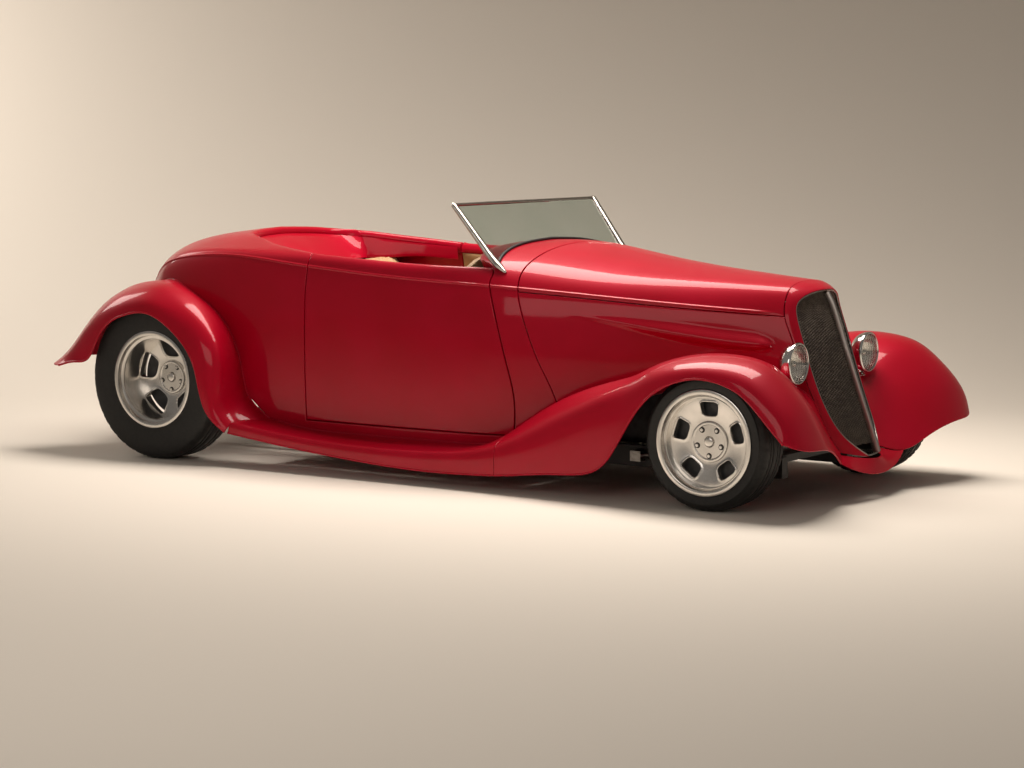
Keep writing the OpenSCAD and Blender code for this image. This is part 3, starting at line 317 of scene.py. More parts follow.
# Polished cast aluminium: bright, with fine buffing lines and a little cloudiness
def polishedCastAluminium():
    mat, tree, shader, place = material("polishedCastAluminium")
    mottled(tree, shader, place, "#d6d3ce", "#dfdcd7", 60)
    finished(shader, {"Metallic": 1.0})
    hazed(tree, shader, place, 25, 4.0, 0.21, 0.27)
    grained(tree, shader, place, 2.5, 3.0, 0.00001)
    return mat


# Chrome plate: near-mirror, with a breath of polishing haze
def chromePlate():
    mat, tree, shader, place = material("chromePlate")
    finished(shader, {"Base Color": linear("#dcdbd8"), "Metallic": 1.0})
    hazed(tree, shader, place, 30, 2.0, 0.06, 0.12)
    return mat


# Brushed stainless trim: greyer than chrome, with fine lines along Z drawn 1.5 mm apart
def brushedStainlessTrim():
    mat, tree, shader, place = material("brushedStainlessTrim")
    finished(shader, {"Base Color": linear("#a39d97"), "Metallic": 1.0, "Roughness": 0.34})
    stretch = addNode(tree, "ShaderNodeMapping", {"Scale": (1.0, 1.0, 0.04)}, {"Vector": place})
    lines = addNode(tree, "ShaderNodeTexNoise", {"Scale": perMetre(1.5), "Detail": 2.0},
                    {"Vector": stretch.outputs[0]})
    bumped(tree, shader, lines.outputs["Fac"], 0.00005)
    return mat


# Hand-polished stainless of the windshield posts: soft reflections between chrome and satin
def polishedStainless():
    mat, tree, shader, place = material("polishedStainless")
    mottled(tree, shader, place, "#aaa6a0", "#bdb9b3", 15)
    finished(shader, {"Metallic": 1.0, "Roughness": 0.22})
    grained(tree, shader, place, 3, 3.0, 0.00005)
    return mat


# Tyre rubber: nearly black, dull, with a dry bloom on the sidewall
def mouldedTyreRubber():
    mat, tree, shader, place = material("mouldedTyreRubber")
    mottled(tree, shader, place, "#0e0d0c", "#161412", 18)
    finished(shader, {"Roughness": 0.62})
    grained(tree, shader, place, 3, 4.0, 0.0002)
    return mat


# Woven steel wire: oily dark steel, each wire round enough to catch a thread of light
def wovenSteelWire():
    mat, tree, shader, place = material("wovenSteelWire")
    mottled(tree, shader, place, "#4a423c", "#5e554d", 30)
    finished(shader, {"Metallic": 0.75, "Roughness": 0.48})
    return mat


# Crackled black paint, dull and blotchy: on the sheet behind the grille's mesh it is the radiator's black
# front and painted shade inside the grille, and on the wheels' lug-hole discs it is painted shade
def blackCrackleAndShade():
    mat, tree, shader, place = material("blackCrackleAndShade")
    mottled(tree, shader, place, "#1c1916", "#2a2520", 12)
    finished(shader, {"Roughness": 0.8})
    grain = addNode(tree, "ShaderNodeTexVoronoi", {"Scale": perMetre(6)}, {"Vector": place})
    bumped(tree, shader, grain.outputs["Distance"], 0.0006)
    return mat


# Laminated windshield glass: clear with a faint green-grey cast
def laminatedGlass():
    mat, tree, shader, place = material("laminatedGlass")
    mottled(tree, shader, place, "#c9d6d0", "#cfdad5", 300)
    finished(shader, {"Roughness": 0.02, "IOR": 1.5, "Transmission Weight": 1.0})
    return mat


# Pressed lamp glass: clear, its back moulded in upright flutes 18 mm apart
def pressedLampGlass():
    mat, tree, shader, place = material("pressedLampGlass")
    finished(shader, {"Base Color": linear("#f4f3f0"), "Roughness": 0.16, "IOR": 1.45,
                      "Transmission Weight": 1.0})
    flutes = addNode(tree, "ShaderNodeTexWave", {"Scale": bandScale(18)},
                     {"Vector": place}, bands_direction="Y")
    bumped(tree, shader, flutes.outputs["Fac"], 0.0008)
    return mat


# Tan upholstery leather: even warm tan, fine creased grain drawn 3 mm across
def tanUpholsteryLeather():
    mat, tree, shader, place = material("tanUpholsteryLeather")
    mottled(tree, shader, place, "#a8845a", "#b89468", 60)
    finished(shader, {"Roughness": 0.55, "Sheen Weight": 0.15})
    grain = addNode(tree, "ShaderNodeTexVoronoi", {"Scale": perMetre(3)}, {"Vector": place},
                    feature="DISTANCE_TO_EDGE")
    bumped(tree, shader, grain.outputs["Distance"], 0.0004)
    return mat


# Cut-pile carpet: dark warm brown tufts about 4 mm across
def cutPileCarpet():
    mat, tree, shader, place = material("cutPileCarpet")
    mottled(tree, shader, place, "#33271f", "#4a3a2e", 4)
    finished(shader, {"Roughness": 0.95, "Sheen Weight": 0.4})
    tufts = addNode(tree, "ShaderNodeTexVoronoi", {"Scale": perMetre(4)}, {"Vector": place})
    bumped(tree, shader, tufts.outputs["Distance"], 0.0015)
    return mat


# Satin black chassis enamel over rolled steel: slightly uneven sheen
def satinChassisEnamel():
    mat, tree, shader, place = material("satinChassisEnamel")
    mottled(tree, shader, place, "#1a1918", "#242220", 50)
    finished(shader, {"Roughness": 0.45})
    grained(tree, shader, place, 5, 4.0, 0.0001)
    return mat


# Forged and polished axle steel
def polishedForgedSteel():
    mat, tree, shader, place = material("polishedForgedSteel")
    mottled(tree, shader, place, "#8d8a86", "#a19e9a", 20)
    finished(shader, {"Metallic": 1.0, "Roughness": 0.3})
    grained(tree, shader, place, 4, 4.0, 0.00012)
    return mat


# Painted cast iron: dark grey, pebbly from the sand mould
def paintedCastIron():
    mat, tree, shader, place = material("paintedCastIron")
    mottled(tree, shader, place, "#2c2c2d", "#3a3a3b", 30)
    finished(shader, {"Roughness": 0.6})
    grained(tree, shader, place, 3, 5.0, 0.0006)
    return mat


# Drawn stainless exhaust tube, straw-tinted by heat
def drawnStainlessTube():
    mat, tree, shader, place = material("drawnStainlessTube")
    mottled(tree, shader, place, "#87837c", "#948b7b", 90)
    finished(shader, {"Metallic": 1.0, "Roughness": 0.36})
    grained(tree, shader, place, 6, 3.0, 0.00008)
    return mat


# Black stitched leather on the steering wheel's rim
def blackWrappedLeather():
    mat, tree, shader, place = material("blackWrappedLeather")
    mottled(tree, shader, place, "#171514", "#211e1c", 12)
    finished(shader, {"Roughness": 0.5})
    grain = addNode(tree, "ShaderNodeTexVoronoi", {"Scale": perMetre(2.5)}, {"Vector": place})
    bumped(tree, shader, grain.outputs["Distance"], 0.0003)
    return mat


# Red moulded lens, ribbed every 12 mm so that it glints when lit from any side
def ribbedRedLens():
    mat, tree, shader, place = material("ribbedRedLens")
    mottled(tree, shader, place, "#7c0208", "#8e040b", 15)
    finished(shader, {"Roughness": 0.08, "IOR": 1.49})
    ribs = addNode(tree, "ShaderNodeTexWave", {"Scale": bandScale(12)},
                   {"Vector": place}, bands_direction="Z")
    bumped(tree, shader, ribs.outputs["Fac"], 0.0005)
    return mat


# Seamless studio paper: a pale warm white that stays matt
def studioPaper():
    mat, _, shader, _ = material("studioPaper")
    finished(shader, {"Roughness": 0.9, "Base Color": linear("#ebe4d8")})
    return mat


redPaint = clearCoatRedPaint()
aluminium = polishedCastAluminium()
chrome = chromePlate()
stainless = brushedStainlessTrim()
posted = polishedStainless()
rubber = mouldedTyreRubber()
wire = wovenSteelWire()
crackleAndShade = blackCrackleAndShade()
glass = laminatedGlass()
lampGlass = pressedLampGlass()
leather = tanUpholsteryLeather()
carpet = cutPileCarpet()
enamel = satinChassisEnamel()
forged = polishedForgedSteel()
iron = paintedCastIron()
exhaustTube = drawnStainlessTube()
wrapped = blackWrappedLeather()
redLens = ribbedRedLens()
paper = studioPaper()

for nodeName, finish in {
        "frame": enamel, "floor": carpet, "dash": leather, "steering_column": enamel,
        "steering_wheel": wrapped, "front_axle": forged, "knuckle_left": forged,
        "knuckle_right": forged, "tie_rod": forged, "rear_axle": iron, "engine": iron,
        "driveline": iron, "exhaust": exhaustTube, "fuel_tank": enamel, "tail_lamps": redLens,
        "windshield_glass": glass}.items():
    nodes[nodeName].data.materials.clear()
    nodes[nodeName].data.materials.append(finish)
stage("materials made and CAD nodes dressed")


# Body sections from the tail to the grille, each from the top centre line down to the sill
bodySections = np.array([
    [[-610, 0, 430], [-603, 130, 428], [-578, 240, 422], [-535, 312, 412], [-495, 362, 400],
     [-462, 398, 385], [-438, 420, 365], [-422, 432, 340], [-412, 438, 310], [-405, 440, 280]],
    [[-565, 0, 665], [-558, 120, 660], [-532, 225, 645], [-492, 310, 615], [-452, 365, 575],
     [-420, 405, 520], [-395, 430, 450], [-380, 442, 380], [-370, 448, 310], [-365, 448, 250]],
    [[-440, 0, 855], [-434, 140, 848], [-412, 265, 822], [-378, 360, 775], [-345, 420, 715],
     [-318, 462, 640], [-298, 488, 530], [-285, 498, 420], [-278, 500, 310], [-275, 498, 220]],
    [[-240, 0, 968], [-236, 150, 963], [-228, 305, 943], [-215, 435, 900], [-205, 510, 850],
     [-190, 552, 755], [-170, 565, 600], [-160, 568, 430], [-155, 565, 300], [-150, 560, 200]],
    [[0, 0, 1022], [0, 175, 1015], [0, 350, 995], [0, 500, 955], [0, 575, 913],
     [0, 614, 790], [0, 630, 600], [0, 632, 420], [0, 626, 280], [0, 618, 170]],
    [[290, 0, 1045], [290, 200, 1036], [290, 400, 1008], [290, 545, 968], [290, 612, 932],
     [290, 642, 800], [290, 652, 600], [290, 652, 420], [290, 646, 280], [290, 640, 170]],
    [[580, 0, 1040], [580, 205, 1030], [580, 410, 1006], [580, 575, 965], [580, 630, 914],
     [580, 652, 790], [580, 659, 600], [580, 656, 420], [580, 648, 280], [580, 640, 170]],
    [[870, 0, 1030], [870, 210, 1020], [870, 420, 998], [870, 592, 955], [870, 636, 892],
     [870, 655, 780], [870, 660, 600], [870, 657, 420], [870, 649, 280], [870, 640, 170]],
    [[1160, 0, 1020], [1160, 212, 1012], [1160, 425, 990], [1160, 595, 942], [1160, 636, 874],
     [1160, 654, 770], [1160, 660, 600], [1160, 657, 420], [1160, 649, 280], [1160, 640, 170]],
    [[1450, 0, 1012], [1450, 212, 1006], [1450, 420, 985], [1450, 583, 934], [1450, 623, 861],
     [1450, 643, 760], [1450, 651, 600], [1450, 650, 420], [1450, 642, 280], [1450, 632, 170]],
    [[1740, 0, 1026], [1740, 185, 1015], [1740, 370, 985], [1740, 520, 928], [1740, 585, 848],
     [1740, 612, 740], [1740, 621, 580], [1740, 618, 420], [1740, 606, 280], [1740, 595, 170]],
    [[2030, 0, 990], [2030, 155, 981], [2030, 308, 953], [2030, 435, 903], [2030, 505, 828],
     [2030, 530, 720], [2030, 540, 570], [2030, 535, 420], [2030, 521, 280], [2030, 506, 180]],
    [[2320, 0, 948], [2320, 122, 942], [2320, 245, 923], [2320, 352, 885], [2320, 420, 806],
     [2320, 442, 700], [2320, 450, 560], [2320, 445, 420], [2320, 430, 280], [2320, 415, 190]],
    [[2610, 0, 919], [2610, 96, 915], [2610, 192, 902], [2610, 276, 870], [2610, 334, 786],
     [2610, 352, 690], [2610, 358, 560], [2610, 353, 430], [2610, 340, 300], [2610, 324, 200]],
    [[2905, 0, 896], [2905, 66, 893], [2905, 132, 882], [2905, 192, 850], [2910, 229, 768],
     [2945, 236, 680], [2995, 235, 550], [3050, 228, 420], [3105, 209, 290], [3150, 172, 200]]],
    float) / 1000

bodyShape = {
    "beadHalf": 0.0085,    # half the belt bead's width
    "beadHeight": 0.0042,
    "podHeight": 0.021,    # how far the hood side's streak stands out
    "edge": 0.0028,        # radius of the folded panel edges
    "rimEdge": 0.020,      # radius of the cockpit's rolled rim
    "gap": 0.0048,         # shut gap
    "seam": 0.0015,
    "wall": 0.050,
}
lastU = 14.0


def atX(x):   # section number at a drawn x in millimetres
    return 4 + np.asarray(x, float) / 290


def bare(u, v):
    return netPoint(bodySections, np.clip(u, 0, lastU), v)


def bareNormal(u, v):
    return surfaceNormal(lambda a, b: netPoint(bodySections, a, b), np.clip(u, 0.03, lastU - 0.03), v)


# How far the pressed details stand out of the smooth body: a raised cosine along the belt row,
# and on the hood side a streak that widens forward between an upper and a lower line
def pressed(u, v, p):
    s = bodyShape
    a = np.abs(v)
    rowLength = np.linalg.norm(bare(u, a + 0.02) - bare(u, a - 0.02), axis=-1) / 0.04
    d = np.clip(np.abs(a - 4.0) * rowLength / s["beadHalf"], 0, 1)
    fade = ease(2.2, 2.9, u) * ease(lastU - 0.05, lastU - 0.45, u)
    bead = s["beadHeight"] * fade * (0.5 + 0.5 * np.cos(np.pi * d))
    x, z = p[..., 0], p[..., 2]
    upper = smoothly(x, [2.0, 2.1, 2.34, 2.51, 2.68, 2.81, 2.88],
                     [.750, .743, .732, .718, .699, .685, .668])
    lower = smoothly(x, [2.0, 2.1, 2.25, 2.4, 2.55, 2.7, 2.88],
                     [.744, .728, .697, .664, .636, .617, .608])
    t = (upper - z) / np.maximum(upper - lower, 0.003)
    cap = np.sqrt(np.clip(1 - (np.clip(x - 2.80, 0, None) / 0.072) ** 2, 0, 1))
    t = np.clip(0.5 + (t - 0.5) / np.maximum(cap, 0.05), 0, 1)   # its front end is rounded
    swell = np.sin(np.pi * t ** 1.45) * ease(2.0, 2.62, x) * (cap > 0.05)
    side = (a > 4.1) & (a < 6.9) & (x > 1.98)
    return bead + s["podHeight"] * swell * np.sqrt(cap) * side


def drawn(u, v):   # the finished outer surface
    p = bare(u, v)
    return p + bareNormal(u, v) * pressed(u, v, p)[..., None]


def toRow(p):
    return p - np.array([midX, 0, 0])


# Shut lines. Each gives a section number or a row.
def cockpitBack(v):
    return atX(smoothly(np.abs(v), [0, 0.65, 1.3, 1.7, 1.95, 2.3], [120, 126, 160, 206, 280, 330]))


def cockpitRear(v):
    return np.where(np.abs(v) < 1.95, cockpitBack(v), atX(280))


def doorFront(v):
    return atX(smoothly(np.abs(v), [0, 1, 2, 2.5, 3, 4, 5, 6, 7, 9],
                        [1500, 1506, 1530, 1570, 1663, 1688, 1726, 1772, 1812, 1808]))


def hoodRear(v):
    return atX(smoothly(np.abs(v), [0, 2, 3, 4, 5, 6, 7, 8, 9],
                        [1797, 1797, 1799, 1810, 1845, 1905, 1975, 2020, 2045]))


def lidEdge(u):
    return smoothly(u, [0, 0.7, 3.9, 4.4, 5, 6.5, 14], [1.7, 1.7, 1.55, 1.3, 1.3, 2, 2])


def rimRow(u):
    return smoothly(u, [0, 2, 3.9, 4.95, 5.55, 6.3, 6.8, 14], [3, 2.8, 2.3, 1.95, 2.45, 2.85, 3, 3])


# The lowest row of the quarter that stays clear of the rear wheel, for a table of sections
tableU = np.linspace(0, lastU, 281)
tryRows = np.arange(4, 9.001, 0.02)
tryPoints = bare(tableU[:, None], tryRows[None, :])
nearWheel = np.hypot(tryPoints[..., 0], tryPoints[..., 2] - 0.365) < 0.387
clearRow = np.where(nearWheel.any(1), tryRows[np.argmax(nearWheel, 1)], 9.0)


def rearJoin(u):
    low = np.interp(u, [0, 1.1, 1.9, 2.75, 3.5, 4.2, 4.86, 5.17, 5.41, 5.83, 6.2, 14],
                    [5, 5, 4.6, 4.85, 4.8, 5.15, 6, 6.85, 7.8, 8.65, 9, 9])
    return np.minimum(low, np.interp(u, tableU, clearRow))


def frontJoin(u):
    return smoothly(u, [10, 10.75, 11.2, 11.6, 12.25, 12.75, 13, 13.5, 13.8, 14],
                    [9, 8.3, 7.65, 7.35, 7, 6.85, 6.7, 6.6, 6.8, 7.2])


# Even steps from 0 to 1 with finer ones at both ends, where a folded edge needs them
def panelSteps(n, length, edge=0.004):
    e = np.array([0, 0.15, 0.4, 0.8, 1.4]) * edge / length
    return np.concatenate([e, np.linspace(2 * edge / length, 1 - 2 * edge / length, n),
                           1 - e[::-1]])


# Rounds a shell's corners: a point sinks as on a quarter circle, by its distance from the
# nearest open edge
def foldEdges(outer, inner, keep, radius):
    count = np.zeros(outer.shape[:2], int)
    for di in (0, 1):
        for dj in (0, 1):
            count[di:di + keep.shape[0], dj:dj + keep.shape[1]] += keep
    flat = outer.reshape(-1, 3)
    rim = np.flatnonzero(((count > 0) & (count < 4)).ravel())
    rimRadius = radius.ravel()[rim]
    nearest = np.empty(len(flat))
    r = np.empty(len(flat))
    for block in np.array_split(np.arange(len(flat)), max(1, len(flat) // 2000)):
        d = np.linalg.norm(flat[block, None] - flat[rim][None], axis=-1)
        k = np.argmin(d, 1)
        nearest[block] = d[np.arange(len(block)), k]
        r[block] = rimRadius[k]
    near = np.clip(r - nearest, 0, None)
    fall = (r - np.sqrt(np.clip(r ** 2 - near ** 2, 0, None))).reshape(outer.shape[:2])[..., None]
    depth = inner - outer
    thick = np.linalg.norm(depth, axis=-1, keepdims=True)
    fall = np.minimum(fall, 0.47 * thick)
    return outer + unit(depth) * fall, inner - unit(depth) * np.minimum(fall, 0.47 * thick)


# A body panel: the drawn surface over a grid and its copy a thickness inside, edges folded
def panel(name, u, v, thick, body, replaces=(), keep=None, rim=None):
    inner = bare(u, v) - bareNormal(u, v) * np.broadcast_to(thick, u.shape)[..., None]
    outer = drawn(u, v)
    if keep is None:
        keep = np.ones((u.shape[0] - 1, u.shape[1] - 1), bool)
    radius = np.full(u.shape, bodyShape["edge"])
    if rim is not None:
        radius = np.where(rim, bodyShape["rimEdge"], radius)
    outer, inner = foldEdges(outer, inner, keep, radius)
    verts = toRow(np.concatenate([outer.reshape(-1, 3), inner.reshape(-1, 3)]))
    return piece(name, [(verts, [shellFaces(keep)])], redPaint, body, replaces)


def bodyThickness(u, v):
    a = np.abs(v)
    t = 0.018 + (bodyShape["wall"] - 0.018) * ease(2.0, 3.2, a)
    return np.maximum(t, 0.044 * ease(3.95, 4.3, u) * ease(6.9, 6.5, u))


def bodyTub():
    keys = [lambda v: 0 * v, lambda v: 0.7 + 0 * v, lambda v: atX(-20) + 0 * v, cockpitRear,
            lambda v: atX(740) + 0 * v, doorFront, hoodRear]
    steps = [panelSteps(8, 0.2), panelSteps(40, 0.9), panelSteps(12, 0.2), panelSteps(34, 0.45),
             panelSteps(36, 0.9), panelSteps(14, 0.25)]
    key = np.concatenate([np.full(len(s) - 1, k) for k, s in enumerate(steps)] + [[5]])
    t = np.concatenate([s[:-1] for s in steps] + [[1.0]])
    # Rows from the top centre line: lid edge, rim, belt bead, sill, lower edge
    rowSteps = [np.linspace(0, 1, 14), panelSteps(10, 0.25), panelSteps(8, 0.12),
                np.linspace(0, 1, 17), panelSteps(26, 0.6), panelSteps(2, 0.05)]
    rowKey = np.concatenate([np.full(len(s) - 1, k) for k, s in enumerate(rowSteps)] + [[5]])
    rowT = np.concatenate([s[:-1] for s in rowSteps] + [[1.0]])
    size = (len(key), len(rowKey))
    u = np.broadcast_to(np.interp(key + t, range(7), [0, 0.7, 3.93, 4.6, 6.55, 9.8, 10.3])[:, None], size)
    for _ in range(4):   # a line's section depends on the row and the row on the section
        low = np.minimum(9.0, rearJoin(u))
        rows = np.stack([0 * u, lidEdge(u), rimRow(u), 3.88 + 0 * u, 4.12 + 0 * u,
                         np.minimum(8.6, low - 0.06), low])
        j = np.arange(size[1])
        a, b = rows[rowKey, :, j].T, rows[rowKey + 1, :, j].T
        v = a + (b - a) * rowT[None]
        lines = np.stack([k(v) for k in keys])
        i = np.arange(size[0])
        a, b = lines[key, i], lines[key + 1, i]
        u = a + (b - a) * t[:, None]
    u = np.concatenate([u[:, :0:-1], u], 1)
    v = np.concatenate([-v[:, :0:-1], v], 1)
    half = size[1] - 1
    c = np.arange(2 * half)
    zone = rowKey[np.where(c >= half, c - half, half - 1 - c)]
    col = key[:-1, None]
    zone = zone[None]
    lid = (col == 1) & (zone == 0)
    cockpit = ((col == 3) | (col == 4)) & (zone <= 1)
    door = (col == 4) & (zone >= 2) & (zone <= 4)
    rim = ((u > 4.35) & (u < 6.6) & (np.abs(v) < rimRow(u) + 0.15)
           | (u > 9.0) & (u < 9.8) & (np.abs(v) < 2.6))
    panel("bodyTub", u, v, bodyThickness(u, v), "chassis", ("body_tub",),
          ~(lid | cockpit | door), rim)


def doors():
    gap = bodyShape["gap"] / 0.29
    rows = np.concatenate([3.0 + 0.88 * panelSteps(14, 0.1)[:-1], np.linspace(3.88, 4.12, 17),
                           4.12 + (8.555 - 4.12) * panelSteps(34, 0.6)[1:]])
    s = panelSteps(48, 0.95)[:, None]
    v = np.broadcast_to(rows[None], (len(s), len(rows)))
    u = (atX(740) + gap) * (1 - s) + (doorFront(v) - gap) * s
    for side, name in ((1, "left"), (-1, "right")):
        panel("door" + name.capitalize(), u, v * side, bodyShape["wall"], "door_" + name,
              ("door_" + name,), rim=v < 3.05)


def lids():
    gap = bodyShape["gap"] / 0.29
    s = panelSteps(44, 0.9)[:, None]
    across = np.concatenate([-panelSteps(20, 0.35)[::-1], panelSteps(20, 0.35)[1:]])[None]
    u = np.broadcast_to((0.7 + 1.2 * gap) * (1 - s) + (atX(-20) - gap) * s, (len(s), across.size))
    panel("deckLid", u, across * (lidEdge(u) - 0.03), 0.018, "deck_lid", ("deck_lid",))
    half = np.concatenate([np.linspace(0, 3.88, 34)[:-1], 3.88 + 0.25 * panelSteps(12, 0.03, 0.002)])
    v = np.concatenate([-half[::-1], half[1:]])[None]
    s = panelSteps(60, 1.1)[:, None]
    u = (hoodRear(v) + gap) * (1 - s) + (lastU - 0.7 * gap) * s
    panel("hoodTop", u, np.broadcast_to(v, u.shape), 0.008, "hood", ("hood_top",))


def hoodSides():
    s = panelSteps(84, 1.05)[:, None]
    t = panelSteps(50, 0.5)[None]
    rough = hoodRear(6.0) * (1 - s) + lastU * s
    low = np.minimum(8.6, frontJoin(rough) + 0.05)
    v = 4.165 + (low - 4.165) * t
    u = (hoodRear(v) + 0.009) * (1 - s) + (lastU - 0.006) * s
    for side, name in ((1, "Left"), (-1, "Right")):
        panel("hoodSide" + name, u, v * side, 0.008, "chassis", ("hood_sides",) if side > 0 else ())


bodyTub()
doors()
lids()
hoodSides()
stage("body panels made")


# The grille opening's edge from the top centre round to the bottom point, and the V's nose
grilleEdge = np.array([[2985, 0, 862], [2979, 60, 860], [2966, 120, 850], [2952, 175, 826],
                       [2950, 205, 775], [2985, 212, 665], [3030, 212, 532], [3082, 202, 400],
                       [3150, 162, 272], [3222, 58, 178]], float) / 1000
grilleNose = np.array([[2980, 0, 842], [2983, 0, 838], [2989, 0, 828], [3002, 0, 806],
                       [3022, 0, 758], [3059, 0, 655], [3105, 0, 528], [3153, 0, 397],
                       [3197, 0, 280], [3232, 0, 184]], float) / 1000


def along(table, v):
    p = through(np.abs(v), len(table)) @ table
    p[:, 1] *= np.where(v < 0, -1, 1)
    return p


# A closed loop of points for each row, from the hood's front edge out over the lip and back
def grilleShell():
    v = np.linspace(-9, 9, 241)
    n = bareNormal(np.full_like(v, lastU), v)
    back = bare(np.full_like(v, lastU), v)
    edge = along(grilleEdge, v)
    opening = edge - np.stack([0 * v + 0.008, 0.007 * n[:, 1], 0.007 * n[:, 2]], 1)
    loop = [back + n * 0.0005]
    for s in (0.04, 0.12, 0.3, 0.5, 0.7, 0.86):
        loop.append(back * (1 - s) + edge * s + n * 0.004 * np.sin(np.pi * s) ** 0.8)
    mid = (edge + opening) / 2 + np.array([0.006, 0, 0])
    for a in np.linspace(0, 1, 9):   # the lip's rounded front
        w = np.array([(1 - a) ** 2, 2 * a * (1 - a), a * a])
        loop.append(edge * w[0] + (edge * [0, 1, 1] + mid * [1, 0, 0]) * w[1] * 0.5
                    + mid * w[1] * 0.5 + opening * w[2])
    inside = back - n * 0.009
    for s in (0.3, 0.7, 1.0):
        loop.append((opening - [0.004, 0, 0]) * (1 - s) + inside * s)
    grid = toRow(np.stack(loop))
    m = grid.shape[1]
    faces = [gridFaces(len(loop), m, wrapN=True), (np.arange(len(loop)) * m)[None, ::-1],
             (np.arange(len(loop)) * m + m - 1)[None]]
    piece("grilleShell", [(grid, faces)], redPaint, "chassis", ("grille_shell",))


grilleShell()


# Front fender and running board sections from the door's foot forward, each from the body to
# the lower lip. The first point of each is put on the body.
boardSections = np.array([
    [[400, 655, 228], [400, 690, 224], [400, 725, 220], [400, 760, 217], [400, 797, 213],
     [400, 826, 200], [400, 828, 157]],
    [[750, 650, 176], [750, 688, 176], [750, 724, 175], [750, 760, 174], [750, 798, 171],
     [750, 826, 159], [750, 828, 117]],
    [[1100, 648, 158], [1100, 686, 157], [1100, 722, 156], [1100, 760, 154], [1100, 798, 150],
     [1100, 826, 138], [1100, 828, 86]],
    [[1450, 640, 160], [1450, 680, 159], [1450, 718, 157], [1450, 756, 154], [1450, 796, 149],
     [1450, 826, 136], [1450, 828, 67]],
    [[1750, 600, 182], [1750, 650, 184], [1750, 692, 186], [1750, 738, 186], [1750, 788, 178],
     [1750, 826, 158], [1750, 828, 70]],
    [[1950, 555, 268], [1950, 610, 283], [1950, 660, 298], [1950, 712, 298], [1950, 776, 262],
     [1950, 826, 206], [1950, 828, 83]],
    [[2150, 497, 372], [2150, 565, 390], [2150, 632, 412], [2150, 702, 412], [2150, 777, 362],
     [2150, 826, 280], [2150, 828, 104]],
    [[2345, 446, 422], [2345, 520, 440], [2345, 602, 470], [2347, 692, 485], [2350, 772, 450],
     [2350, 828, 372], [2352, 830, 132]],
    [[2480, 402, 446], [2480, 480, 467], [2480, 572, 505], [2480, 672, 528], [2485, 762, 510],
     [2484, 826, 440], [2474, 838, 262]],
    [[2610, 357, 468], [2605, 450, 502], [2605, 562, 558], [2605, 675, 585], [2605, 765, 570],
     [2604, 828, 522], [2600, 847, 437]],
    [[2750, 312, 482], [2750, 420, 527], [2750, 545, 596], [2750, 672, 623], [2752, 770, 608],
     [2756, 834, 570], [2760, 852, 529]],
    [[2880, 275, 480], [2885, 390, 524], [2890, 530, 600], [2895, 670, 631], [2898, 775, 614],
     [2900, 838, 578], [2900, 854, 541]],
    [[2965, 258, 455], [2985, 370, 488], [3010, 512, 572], [3035, 660, 608], [3041, 770, 592],
     [3041, 838, 550], [3040, 856, 496]],
    [[3030, 258, 400], [3062, 360, 424], [3102, 500, 500], [3138, 650, 545], [3148, 765, 526],
     [3148, 838, 476], [3146, 858, 403]],
    [[3105, 235, 300], [3142, 340, 318], [3194, 482, 385], [3238, 640, 428], [3248, 755, 420],
     [3243, 830, 382], [3222, 858, 327]],
    [[3190, 190, 135], [3222, 300, 172], [3270, 450, 225], [3306, 610, 266], [3308, 740, 275],
     [3280, 822, 289], [3240, 856, 306]]], float) / 1000
boardJoinU = [5.45, 6.59, 7.8, 9, 10.03, 10.72, 11.41, 12.08, 12.55, 13, 13.5, 13.8, 13.93, 14, 14, 14]
boardJoinV = [8.4, 8.94, 9, 9, 8.9, 8.3, 7.45, 7.02, 6.85, 6.7, 6.6, 6.6, 6.75, 7.2, 8, 9]
rearSections = np.array([
    [[540, 662, 204], [515, 700, 202], [492, 735, 202], [470, 770, 200], [455, 805, 196],
     [446, 832, 180], [436, 846, 158]],
    [[410, 657, 310], [414, 705, 305], [412, 750, 298], [406, 790, 290], [394, 828, 282],
     [370, 858, 272], [338, 868, 258]],
    [[372, 652, 460], [388, 705, 460], [392, 750, 462], [393, 790, 461], [382, 828, 455],
     [344, 860, 442], [288, 872, 424]],
    [[280, 645, 640], [288, 700, 650], [290, 745, 650], [290, 787, 644], [281, 826, 630],
     [247, 859, 598], [205, 873, 555]],
    [[60, 630, 765], [70, 685, 777], [70, 735, 775], [69, 782, 762], [63, 822, 738],
     [55, 856, 704], [50, 872, 658]],
    [[-110, 600, 806], [-108, 662, 802], [-108, 722, 790], [-107, 775, 770], [-106, 820, 744],
     [-103, 856, 708], [-100, 872, 664]],
    [[-255, 545, 770], [-268, 620, 770], [-278, 692, 756], [-284, 757, 729], [-284, 812, 690],
     [-273, 856, 640], [-255, 872, 588]],
    [[-350, 480, 690], [-378, 570, 692], [-402, 657, 672], [-418, 737, 634], [-420, 802, 586],
     [-396, 853, 530], [-345, 870, 452]],
    [[-425, 430, 560], [-467, 532, 568], [-507, 636, 552], [-522, 727, 520], [-518, 797, 482],
     [-490, 846, 448], [-440, 868, 426]],
    [[-465, 400, 420], [-522, 512, 430], [-580, 627, 430], [-610, 717, 420], [-612, 790, 410],
     [-585, 842, 404], [-535, 866, 404]]], float) / 1000
rearJoinU = [5.86, 5.45, 5.3, 4.95, 4.2, 3.62, 2.75, 1.9, 1.1, 0.4]
rearJoinV = list(rearJoin(np.array(rearJoinU)))

fenderShape = {"thick": 0.007, "bead": 0.0052, "split": 4.55, "footGap": 0.003}


